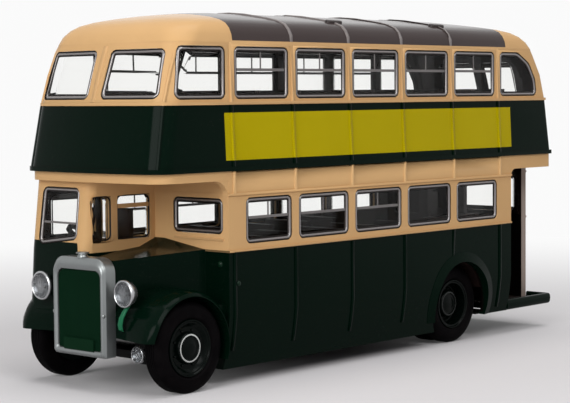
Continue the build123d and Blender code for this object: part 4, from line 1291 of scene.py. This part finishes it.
@dataclass
class Wheel:
    """One tyre and its wheel centre."""

    axle: Axle
    side: Side
    face: float
    width: float
    dish: float
    boss: float
    radius: float = 6.75
    rim: float = 4.3
    tread_edge: float = 0.75
    grooves: int = 5
    groove_depth: float = 0.13
    twin_gap: float = 0.12
    nuts: int = 8
    nut_reach: float = 2.72
    steps: int = 112
    hub_steps: int = 72
    nut_steps: int = 6

    def shoulder(self, start: float, end: float) -> list[Point]:
        """Profile of one tyre from its inner bead round the tread to its outer bead.

        Args:
            start: Place of the inner side wall.
            end: Place of the outer side wall.

        Returns:
            Distances along the axle and radii.
        """
        top, base = self.radius, self.radius - self.groove_depth
        walls = [
            (0.35, self.rim), (0.05, self.rim + 0.35), (0.0, self.rim + 1.0),
            (0.06, top - 1.0), (0.2, top - 0.5), (0.5, top - 0.14),
        ]
        profile = [(start + a, r) for a, r in walls]
        wide = (end - start - 2 * self.tread_edge) / self.grooves
        for i in range(self.grooves):
            middle = start + self.tread_edge + wide * (i + 0.5)
            edges = ((-0.4, top), (-0.12, top), (-0.08, base), (0.08, base), (0.12, top), (0.4, top))
            profile += [(middle + share * wide, height) for share, height in edges]
        return profile + [(end - a, r) for a, r in reversed(walls)]

    def build(self, rubber: Material, paint: Material) -> None:
        """Make the tyre, the wheel centre and its nuts.

        Args:
            rubber: Finish of the tyre.
            paint: Finish of the wheel centre and nuts.
        """
        centre, axis = Vector((self.axle.place, 0, AXLE_HEIGHT)), ACROSS * self.side.value
        front, side = self.axle.word, self.side.word
        face, rim, inner, middle = self.face, self.rim, self.face - self.width, self.face - self.width / 2
        dished, boss = face - self.dish, face - self.boss
        profile = self.shoulder(inner, face)
        if self.axle is Axle.REAR:
            gap = self.twin_gap
            profile = self.shoulder(inner, middle - gap) + self.shoulder(middle + gap, face)
        tyre, hub, nuts = Mesh(), Mesh(), Mesh()
        tyre.lathe(profile, centre, axis, self.steps)
        hub.lathe([
            (inner + 0.3, 0.9), (inner + 0.3, rim - 0.02), (face - 0.3, rim - 0.02), (face - 0.16, rim - 0.1),
            (face - 0.16, rim - 0.28), (face - 0.32, rim - 0.4), (face - 0.34, rim - 0.62),
            (dished + 0.1, rim - 1.0), (dished, rim - 1.15), (dished, 2.45), (boss - 0.25, 2.32),
            (boss - 0.06, 2.2), (boss, 2.08), (boss, 1.86), (boss - 0.16, 1.78), (boss - 0.2, 1.5),
            (boss - 0.1, 1.2), (boss - 0.04, 0.6), (boss - 0.02, 0.0),
        ], centre, axis, self.hub_steps)
        nut = [(dished - 0.1, 0.22), (dished + 0.16, 0.22), (dished + 0.22, 0.17), (dished + 0.24, 0.0)]
        for i in range(self.nuts):
            turn = math.pi * (2 * i + 1) / self.nuts
            spot = Vector((math.cos(turn), 0, math.sin(turn))) * self.nut_reach
            nuts.lathe(nut, centre + spot, axis, self.nut_steps)
        body, outer, disc = self.axle.value, f"{front}_tyre_{side}", f"{front}_hub_{side}"
        settle(tyre.make(f"{outer}_rubber", rubber, smooth=32), outer, body)
        settle(hub.make(f"{disc}_centre", paint, smooth=32), disc, body)
        settle(nuts.make(f"{front}_nuts_{side}", paint, smooth=20), body=body)


@dataclass
class Lamp:
    """A lamp bowl with its rim and lens, on a bracket where it has one."""

    name: str
    back: Vector
    radius: float
    depth: float
    bracket: Optional[Material] = None
    steps: int = 48
    lens_share: float = 0.84
    lens_bulge: float = 0.35
    tongue_steps: int = 12
    tongue_section: Point = (0.24, 0.1)
    spine: tuple[tuple[Spot, float], ...] = (
        ((1.0, 0.1, -1.7), 0.3), ((1.55, -0.25, -2.6), 0.42), ((1.95, -0.55, -3.6), 0.46),
        ((2.0, -0.8, -4.6), 0.46), ((1.7, -0.95, -5.4), 0.42), ((1.0, -1.0, -5.7), 0.2),
    )

    def build(self, silver: Material, clear: Material) -> None:
        """Make the bowl and the lens in the place of their solids.

        Args:
            silver: Finish of the bowl and rim.
            clear: Finish of the lens.
        """
        r, d = self.radius, self.depth
        bowl, lens = Mesh(), Mesh()
        bowl.lathe([
            (0.0, 0.0), (0.0, 0.4 * r), (0.12 * d, 0.6 * r), (0.35 * d, 0.83 * r),
            (d - 0.72, 0.93 * r), (d - 0.6, r), (d - 0.32, r), (d - 0.2, 0.96 * r),
            (d - 0.14, 0.9 * r), (d - 0.2, 0.85 * r), (d - 0.5, 0.7 * r), (d - 0.72, 0.4 * r),
            (d - 0.78, 0.2 * r), (d - 0.52, 0.18 * r), (d - 0.46, 0.12 * r), (d - 0.44, 0.0),
        ], self.back, ALONG, self.steps)
        plated = len(bowl.faces)
        if self.bracket is not None:
            self.tongue(bowl)
        piece = bowl.make(f"{self.name}_bowl", silver, smooth=35)
        if self.bracket is not None:
            piece.data.materials.append(self.bracket)
            for polygon in piece.data.polygons:
                polygon.material_index = int(polygon.index >= plated)
        settle(piece, self.name)
        reach, bulge = self.lens_share * r, self.lens_bulge
        edge = (d - 0.3, reach)
        turns = [k * math.pi / 16 for k in range(8, -1, -1)]
        dome = [(d - 0.2 + bulge * math.cos(turn), reach * math.sin(turn)) for turn in turns]
        lens.lathe([edge, *dome, (d - 0.42, 0.0), (d - 0.4, 0.4 * r), edge], self.back, ALONG, self.steps)
        piece = lens.make(f"{self.name}_lens_glass", clear, smooth=35)
        settle(piece, f"{self.name}_lens")

    def tongue(self, mesh: Mesh) -> None:
        """Add the curved tongue that carries the lamp on the wing.

        Args:
            mesh: Mesh to add to.
        """
        thick, tilt = self.tongue_section
        rows = []
        for place, half in self.spine:
            middle, ring = self.back + Vector(place), circle(self.tongue_steps)
            rows.append([middle + Vector((thick * cos, half * sin, tilt * cos)) for cos, sin in ring])
        mesh.grid(rows)


@dataclass
class Radiator:
    """Plated radiator shell with its filler cap and catches, and its core."""

    width: float = 11.6
    top: float = 20.0
    bottom: float = 5.3
    depth: float = 2.4
    corner: float = 2.2
    foot: float = 0.4
    tightest: float = 0.6
    head_share: float = 1.9
    cap_sunk: float = 0.05
    catch_height: float = 11.6
    catch_back: float = 0.33
    catch_in: float = 0.42
    core_back: float = 1.45
    core_face: float = 0.52
    core_corner: float = 1.34
    core_side: float = 1.06
    core_foot: float = 0.66
    core_head: float = 1.96
    slat_depth: float = 0.035
    slat_points: int = 176
    steps: int = 24
    cap: tuple[Point, ...] = (
        (-0.1, 0.8), (0.2, 0.8), (0.3, 0.7), (0.5, 0.68), (0.55, 0.95),
        (0.62, 1.02), (0.7, 1.0), (0.78, 0.85), (0.8, 0.0),
    )
    catch: tuple[Point, ...] = ((-0.3, 0.36), (0.1, 0.36), (0.25, 0.3), (0.32, 0.15), (0.33, 0.0))

    def build(self, silver: Material) -> None:
        """Make the shell in the place of its solid.

        Args:
            silver: Finish of the shell.
        """
        profile = (
            (0.0, -self.depth), (0.0, -0.62), (0.03, -0.5), (0.14, -0.4), (0.24, -0.22),
            (0.34, -0.07), (0.5, 0.0), (0.66, -0.03), (0.78, -0.14), (0.9, -0.2),
            (0.97, -0.28), (1.0, -0.45), (1.0, -self.core_back),
        )
        mesh = Mesh()
        mesh.grid([[Vector((FRONT + lift, u, v)) for u, v in self.loop(inset)] for inset, lift in profile])
        mesh.lathe(self.cap, Vector((FRONT - self.depth / 2, 0, self.top - self.cap_sunk)), UP, self.steps)
        for side in Side:
            across = side.value * (self.width / 2 - self.catch_in)
            spot = Vector((FRONT - self.catch_back, across, self.catch_height))
            mesh.lathe(self.catch, spot, ALONG, self.steps)
        settle(mesh.make("radiator_shell_plated", silver, smooth=50), "radiator_shell")

    def core(self, paint: Material) -> None:
        """Make the core with its shallow upright slats, in the place of its solid.

        Args:
            paint: Finish of the core.
        """
        half, back = self.width / 2 - self.core_side, FRONT - self.core_back
        low, high = self.bottom + self.core_foot, self.top - self.core_head
        rows = []
        for i in range(self.slat_points + 1):
            y = -half + 2 * half * i / self.slat_points
            top = high - rounding(abs(y) - (half - self.core_corner), self.core_corner)
            face = FRONT - self.core_face - (self.slat_depth if i % 4 in (2, 3) else 0.0)
            corners = ((back, low), (face, low), (face, top), (back, top))
            rows.append([Vector((x, y, z)) for x, z in corners])
        mesh = Mesh()
        mesh.grid(rows, caps=Caps.BOTH)
        settle(mesh.make("radiator_core_slats", paint, smooth=20), "radiator_core")

    def loop(self, inset: float) -> list[Point]:
        """Outline of the shell with round upper corners and small lower ones.

        Args:
            inset: Distance in from the outer edge.

        Returns:
            Points of the outline across and up.
        """
        half, low = self.width / 2 - inset, self.bottom + inset
        high = self.top - inset * self.head_share
        large, small = max(self.corner - inset, self.tightest), self.foot
        points = []
        for right, upper, start in ((1, -1, -90), (1, 1, 0), (-1, 1, 90), (-1, -1, 180)):
            radius = large if upper > 0 else small
            y = right * (half - radius)
            z = high - radius if upper > 0 else low + radius
            points += [(y + radius * cos, z + radius * sin) for cos, sin in quarter(start)]
        return points


@dataclass
class Platform:
    """Open rear platform with a ribbed tread and a rounded outer rim."""

    front: float = -37.9
    side: float = 14.3
    back: float = -52.25
    inner: float = 9.06
    corner: float = 0.9
    floor: float = 5.3
    rib: float = 0.07
    rib_sunk: float = 0.02
    rib_half: float = 0.2
    rib_slope: float = 0.08
    rib_front: float = -38.3
    rib_back: float = -49.2
    doorway: float = 9.3
    doorway_back: float = -50.9
    first_rib: float = -12.0
    rib_end: float = 13.0
    pitch: float = 0.8
    profile: tuple[Point, ...] = (
        (1.15, 4.3), (0.5, 4.3), (0.26, 4.4), (0.1, 4.62), (0.03, 5.0), (0.0, 5.4), (0.04, 5.8),
        (0.16, 6.05), (0.36, 6.18), (0.6, 6.2), (0.84, 6.12), (0.98, 5.9), (1.02, 5.25),
    )
    outline: tuple[Point, ...] = (
        (-37.05, -12.8), (-37.05, 12.8), (-37.95, 13.25), (-51.15, 13.25), (-51.15, 9.1), (-49.9, 8.9),
        (-50.4, 0.0), (-49.3, -12.8),
    )

    def rim(self, mesh: Mesh) -> None:
        """Add the rim along the nearside and round the rear corner.

        Args:
            mesh: Mesh to add to.
        """
        path = [(Vector((self.front, self.side, 0)), -ACROSS)]
        centre = Vector((self.back + self.corner, self.side - self.corner, 0))
        for cos, sin in quarter(90):
            outward = Vector((cos, sin, 0))
            path.append((centre + outward * self.corner, -outward))
        path.append((Vector((self.back, self.inner, 0)), ALONG))
        rows = []
        for place, inward in path:
            rows.append([place + inward * inset + UP * height for inset, height in self.profile])
        mesh.grid(rows, closed=False, caps=Caps.BOTH)

    def slab(self, mesh: Mesh) -> None:
        """Add the floor and its ribs.

        Args:
            mesh: Mesh to add to.
        """
        faces = [[Vector((x, y, z)) for x, y in self.outline] for z in (SKIRT, self.floor)]
        mesh.grid(faces, caps=Caps.BOTH)
        tip = self.rib_half - self.rib_slope
        levels = ((self.rib_half, self.floor - self.rib_sunk), (tip, self.floor + self.rib))
        y = self.first_rib
        while y < self.rib_end:
            back = self.doorway_back if y > self.doorway else self.rib_back
            rows = []
            for half, z in levels:
                foot = box((back, y - half), (self.rib_front, y + half))
                rows.append([Vector((a, b, z)) for a, b in foot])
            mesh.grid(rows, caps=Caps.LAST)
            y += self.pitch

    def build(self, paint: Material) -> None:
        """Make the platform in the place of its solid.

        Args:
            paint: Finish of the platform.
        """
        mesh = Mesh()
        self.rim(mesh)
        self.slab(mesh)
        settle(mesh.make("rear_platform_tread", paint, smooth=45), "rear_platform")


@dataclass
class Trim:
    """Small mouldings on the front of the body: window bars, a ledge, two bosses and a pillar bead."""

    cream: Material
    green: Material
    ink: Material
    cab_bar: tuple[Point, Point, Point] = ((36.3, 26.7), (42.7, 27.35), (-0.4, -0.1))
    ledge: tuple[Point, Point, Point] = ((3.4, 21.95), (13.9, 22.25), (-0.1, 0.2))
    screen_bar: tuple[Point, Point, Point] = ((-12.0, 24.45), (-3.5, 24.75), (-0.4, -0.22))
    bosses: tuple[tuple[Vector, Vector, float], ...] = (
        (Vector((35.1, 13.19, 18.4)), ALONG, 0.5),
        (Vector((33.2, 15.0, 15.5)), ACROSS, 0.42),
    )
    boss_profile: tuple[Point, ...] = ((-0.2, 1.0), (0.12, 1.0), (0.24, 0.86), (0.34, 0.5), (0.36, 0.0))
    boss_steps: int = 24
    ridge_half: float = 0.45
    ridge_height: float = 0.24
    ridge_sunk: float = 0.04
    ridge_rows: int = 12

    def build(self, glazing: Glazing) -> None:
        """Make the bars, the ledge, the bosses and the bead.

        Args:
            glazing: Windows that the bars lie in.
        """
        cab, ledge, screen, bosses, pillar = (Mesh() for _ in range(5))
        cab.bar(glazing.cab_surface, *self.cab_bar)
        ledge.bar(glazing.bulkhead_surface, *self.ledge)
        screen.bar(glazing.screen_surface, *self.screen_bar)
        for place, axis, radius in self.bosses:
            dome = [(along, radius * share) for along, share in self.boss_profile]
            bosses.lathe(dome, place, axis, self.boss_steps)
        pillar.grid(self.ridge(glazing), closed=False)
        rows = (
            ("cab_window_bar", cab, self.cream, "cream_paint"),
            ("bulkhead_ledge", ledge, self.cream, "cream_paint"),
            ("windscreen_bar", screen, self.ink, "clear_plastic"),
            ("panel_bosses", bosses, self.green, "green_paint"),
            ("front_pillar_bead", pillar, self.cream, "cream_paint"),
        )
        for name, mesh, material, slot in rows:
            settle(mesh.make(name, material))

    def ridge(self, glazing: Glazing) -> list[list[Vector]]:
        """Rounded bead down the middle of the upper front.

        Args:
            glazing: Front that the bead lies on.

        Returns:
            Rows of points from the bottom up.
        """
        turns = [math.pi * k / ARC_STEPS for k in range(ARC_STEPS + 1)]
        half, high = self.ridge_half, self.ridge_height
        arc = [(-half * math.cos(turn), high * math.sin(turn) - self.ridge_sunk) for turn in turns]
        tall = UPPER_HEAD - UPPER_SILL + 0.5
        heights = [UPPER_SILL - 0.3 + tall * row / self.ridge_rows for row in range(self.ridge_rows + 1)]
        return [[glazing.front_surface(across, height, lift) for across, lift in arc] for height in heights]


@dataclass
class RoofVents:
    """Low covers over the roof vents, astride two ribs on each shoulder of the roof."""

    paint: Material
    stations: tuple[float, ...] = (PILLARS[2] - 0.3, PILLARS[4] - 0.3)
    middle: Point = (11.0, 55.3)
    slope: float = 12.7
    length: float = 3.6
    width: float = 1.4
    corner: float = 0.7
    profile: tuple[Point, ...] = ((0.0, -0.4), (0.0, 0.2), (0.06, 0.3), (0.18, 0.37), (0.4, 0.4))

    def build(self) -> None:
        """Make the covers on both shoulders."""
        half, wide = self.length / 2, self.width / 2
        corners = box((-half, -wide), (half, wide))
        mesh = Mesh()
        for side in Side:
            for station in self.stations:
                surface = self.shoulder(side, station)
                mesh.strip(corners, [self.corner] * 4, self.profile, surface, Caps.LAST)
        settle(mesh.make("roof_vents", self.paint))

    def shoulder(self, side: Side, station: float) -> Surface:
        """Sloping surface of one shoulder of the roof.

        Args:
            side: Side of the bus.
            station: Place along the bus.

        Returns:
            Function from place along, place across and lift to a point.
        """
        tilt = math.radians(self.slope)

        def place(u: float, v: float, lift: float) -> Vector:
            """Find a point over the shoulder.

            Args:
                u: Place along the cover.
                v: Place across the cover.
                lift: Height over the roof.

            Returns:
                The point.
            """
            across = self.middle[0] + v * math.cos(tilt) + lift * math.sin(tilt)
            height = self.middle[1] - v * math.sin(tilt) + lift * math.cos(tilt)
            return Vector((station + u, side.value * across, height))

        return place


@dataclass
class SmallPieces:
    """Solids that keep their own meshes and take a finish."""

    material: Material
    nodes: Sequence[str]

    def dress(self) -> None:
        """Give each solid the finish."""
        for node in self.nodes:
            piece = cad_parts[node]
            piece.data.materials.clear()
            piece.data.materials.append(self.material)
            log.info("solid %s: %s", node, self.material.name)


@dataclass
class Studio:
    """Pale floor, soft lights and the camera of the photograph."""

    eye: Vector = Vector((216.16, 191.89, 43.74))
    aim: Vector = Vector((0, 0, 25))
    focal: float = 1702.978
    image_width: float = 570.0
    sensor: float = 36.0
    yaw: float = 42.428
    pitch: float = -3.596
    roll: float = -0.502
    rings: tuple[float, ...] = (40.0, 90.0, 160.0, 260.0, 420.0, 900.0)
    floor_steps: int = 72
    fade: float = 120.0
    white: float = 0.96
    ambient: float = 0.07
    lamps: tuple[tuple[str, Spot, float, float], ...] = (
        ("overhead_softbox", (-40, 40, 620), 520, 2.45),
        ("front_softbox", (430, 110, 190), 280, 1.3),
        ("side_softbox", (140, 460, 380), 300, 1.3),
    )

    def camera(self) -> None:
        """Place the camera."""
        yaw, pitch, roll = (math.radians(a) for a in (self.yaw, self.pitch, self.roll))
        level = math.cos(pitch)
        forward = Vector((-math.cos(yaw) * level, -math.sin(yaw) * level, math.sin(pitch)))
        right = forward.cross(UP).normalized()
        up = right.cross(forward)
        across = right * math.cos(roll) + up * math.sin(roll)
        above = up * math.cos(roll) - right * math.sin(roll)
        data = bpy.data.cameras.new("photo_camera")
        data.sensor_width = self.sensor
        data.lens = self.focal * self.sensor / self.image_width
        data.clip_start = 0.01
        camera = link("photo_camera", data)
        turn = Matrix((across, above, -forward)).transposed().to_4x4()
        camera.matrix_world = Matrix.Translation(self.eye * MM) @ turn
        bpy.context.scene.camera = camera

    def floor(self) -> None:
        """Make the round sheet of paper that the model stands on."""
        sheet, ring = Mesh(), circle(self.floor_steps)
        rows = [[Vector((r * cos, r * sin, 0)) for cos, sin in ring] for r in self.rings]
        sheet.grid(rows, caps=Caps.FIRST)
        sheet.make("paper_floor", self.paper(), smooth=60)

    def paper(self) -> Material:
        """Paper that fades to white away from the model.

        Returns:
            The finished material.
        """
        shader = Shader("paper")
        x, y, _ = shader.place()
        fade = (x * x + y * y).root().above(self.fade, self.fade)
        fibre = shader.noise(0.9, 3.0)
        shader.finish({
            "Base Color": shader.mix(fibre * 0.12, linear("cfccce"), linear("b6b3b5")),
            "Roughness": 0.85 + fibre * 0.1,
            "Specular IOR Level": 0.1,
            "Normal": shader.bump(fibre, 0.03, 0.4),
        })
        glow = shader.node("ShaderNodeEmission", {}, {"Color": (1, 1, 1, 1), "Strength": self.white})
        inputs = {0: fade * shader.seen(), 1: shader.surface.outputs[0], 2: glow.outputs[0]}
        blend = shader.node("ShaderNodeMixShader", {}, inputs)
        shader.feed(shader.tree.nodes["Material Output"], {"Surface": blend.outputs[0]})
        return shader.material

    def lamp(self, name: str, place: Vector, size: float, power: float) -> None:
        """Add one soft lamp that points at the model.

        Args:
            name: Name of the lamp.
            place: Place in millimetres.
            size: Width of the lamp in millimetres.
            power: Power in watts.
        """
        data = bpy.data.lights.new(name, "AREA")
        data.shape = "DISK"
        data.size = size * MM
        data.energy = power
        lamp = link(name, data)
        lamp.location = place * MM
        lamp.rotation_euler = (self.aim - place).to_track_quat("-Z", "Y").to_euler()

    def world(self) -> None:
        """Dim even light from all round, seen as a white background."""
        world = bpy.data.worlds.new("studio")
        world.use_nodes = True
        sky = Tree(world.node_tree)
        dim, bright = [
            sky.node("ShaderNodeBackground", {}, {"Color": (1, 1, 1, 1), "Strength": level})
            for level in (self.ambient, self.white)
        ]
        inputs = {0: sky.seen(), 1: dim.outputs[0], 2: bright.outputs[0]}
        blend = sky.node("ShaderNodeMixShader", {}, inputs)
        sky.feed(world.node_tree.nodes["World Output"], {"Surface": blend.outputs[0]})
        bpy.context.scene.world = world

    def build(self) -> None:
        """Set up the whole studio."""
        bpy.context.scene.view_settings.view_transform = "Standard"
        self.world()
        self.floor()
        for name, place, size, power in self.lamps:
            self.lamp(name, Vector(place), size, power)
        self.camera()
        log.info("studio ready")


def build_wheels() -> None:
    """Make the four wheels of the model."""
    rubber = Rubber().make()
    # The rear ring colour is nearly black, a painted shade for wheels that sit deep in their arches.
    rings = {Axle.FRONT: "c9ccc9", Axle.REAR: "343635"}
    paints = {axle: WheelPaint(axle, ring).make() for axle, ring in rings.items()}
    for side in Side:
        Wheel(Axle.FRONT, side, face=14.6, width=3.4, dish=0.9, boss=0.2).build(rubber, paints[Axle.FRONT])
        Wheel(Axle.REAR, side, face=13.0, width=6.8, dish=2.2, boss=1.0).build(rubber, paints[Axle.REAR])


def build_lamps() -> None:
    """Make both headlamps and the fog lamp."""
    chrome = Plating("lamp_chrome", "aeafb1", 0.16).make()
    lens = ClearMoulding("lens_clear", tint="c4c6c8", flutes=0.42).make()
    # Green of the lamp bracket, made far lighter than the body's green as a painted highlight.
    bracket = Moulding("bracket_paint", "1d6a47", 0.22, 0.4).make()
    lamps = (
        Lamp("headlamp_nearside", Vector((FRONT - 2.9, 9.15, 15.1)), 2.05, 2.3, bracket),
        Lamp("headlamp_offside", Vector((FRONT - 2.3, -9.3, 15.1)), 2.2, 1.8),
        Lamp("fog_lamp", Vector((FRONT - 4.3, 9.5, 6.0)), 1.3, 1.4),
    )
    for lamp in lamps:
        lamp.build(chrome, lens)


def build_model() -> None:
    """Build and dress every sub-assembly in order."""
    livery = Livery()
    silver = Plating("satin_silver", "868a8a", 0.24, (6.0, 6.0, 1.0), 0.75).make()
    steel = Plating("axle_steel", "8d8d8c", 0.3).make()
    # Silver ring of the window edges, a painted reflection.
    bead = Plating("window_edge_reflection", "8a8584", 0.14, metal=0.6).make()
    brown = Moulding("seat_plastic", "1d1311", 0.42, 0.35).make()
    black = Moulding("chassis_plastic", "060607", 0.5, 0.25).make()
    # Dark rings of the window edges, a painted shade.
    edge_shade = Moulding("window_edge_shade", "1d1816", 0.3, 0.8).make()
    ink = Moulding("vent_ink", "7b7776", 0.3, 0.3).make()
    plate = Moulding("plate_enamel", "0d2a19", 0.5, 0.3, 0.02).make()
    green = Moulding("green_enamel", "0a2416", 0.14, 0.5).make()
    cream = Moulding("cream_enamel", "cfa674", 0.2, 0.5).make()
    grey = Moulding("roof_enamel", "3a3332", 0.22, 0.5).make()
    clear = ClearMoulding("window_clear").make()
    BodyShells(livery, black).build()
    glazing = Glazing(edge_shade, bead, ink)
    glazing.build()
    Trim(cream, green, ink).build(glazing)
    RoofVents(grey).build()
    Platform().build(livery.platform())
    build_wheels()
    build_lamps()
    radiator = Radiator()
    radiator.build(silver)
    radiator.core(CorePaint().make())
    SmallPieces(clear, ("upper_glazing", "lower_glazing", "cab_glazing")).dress()
    SmallPieces(brown, ("upper_interior", "lower_interior", "cab_interior", "staircase")).dress()
    SmallPieces(black, ("steering_wheel",)).dress()
    SmallPieces(steel, ("front_base_screw", "rear_base_screw", "front_axle", "rear_axle")).dress()
    SmallPieces(plate, ("number_plate",)).dress()
    Studio().build()


def main() -> None:
    """Build the model."""
    logging.basicConfig(level=logging.INFO, format="%(name)s %(message)s")
    build_model()


if __name__ == "__main__":
    main()
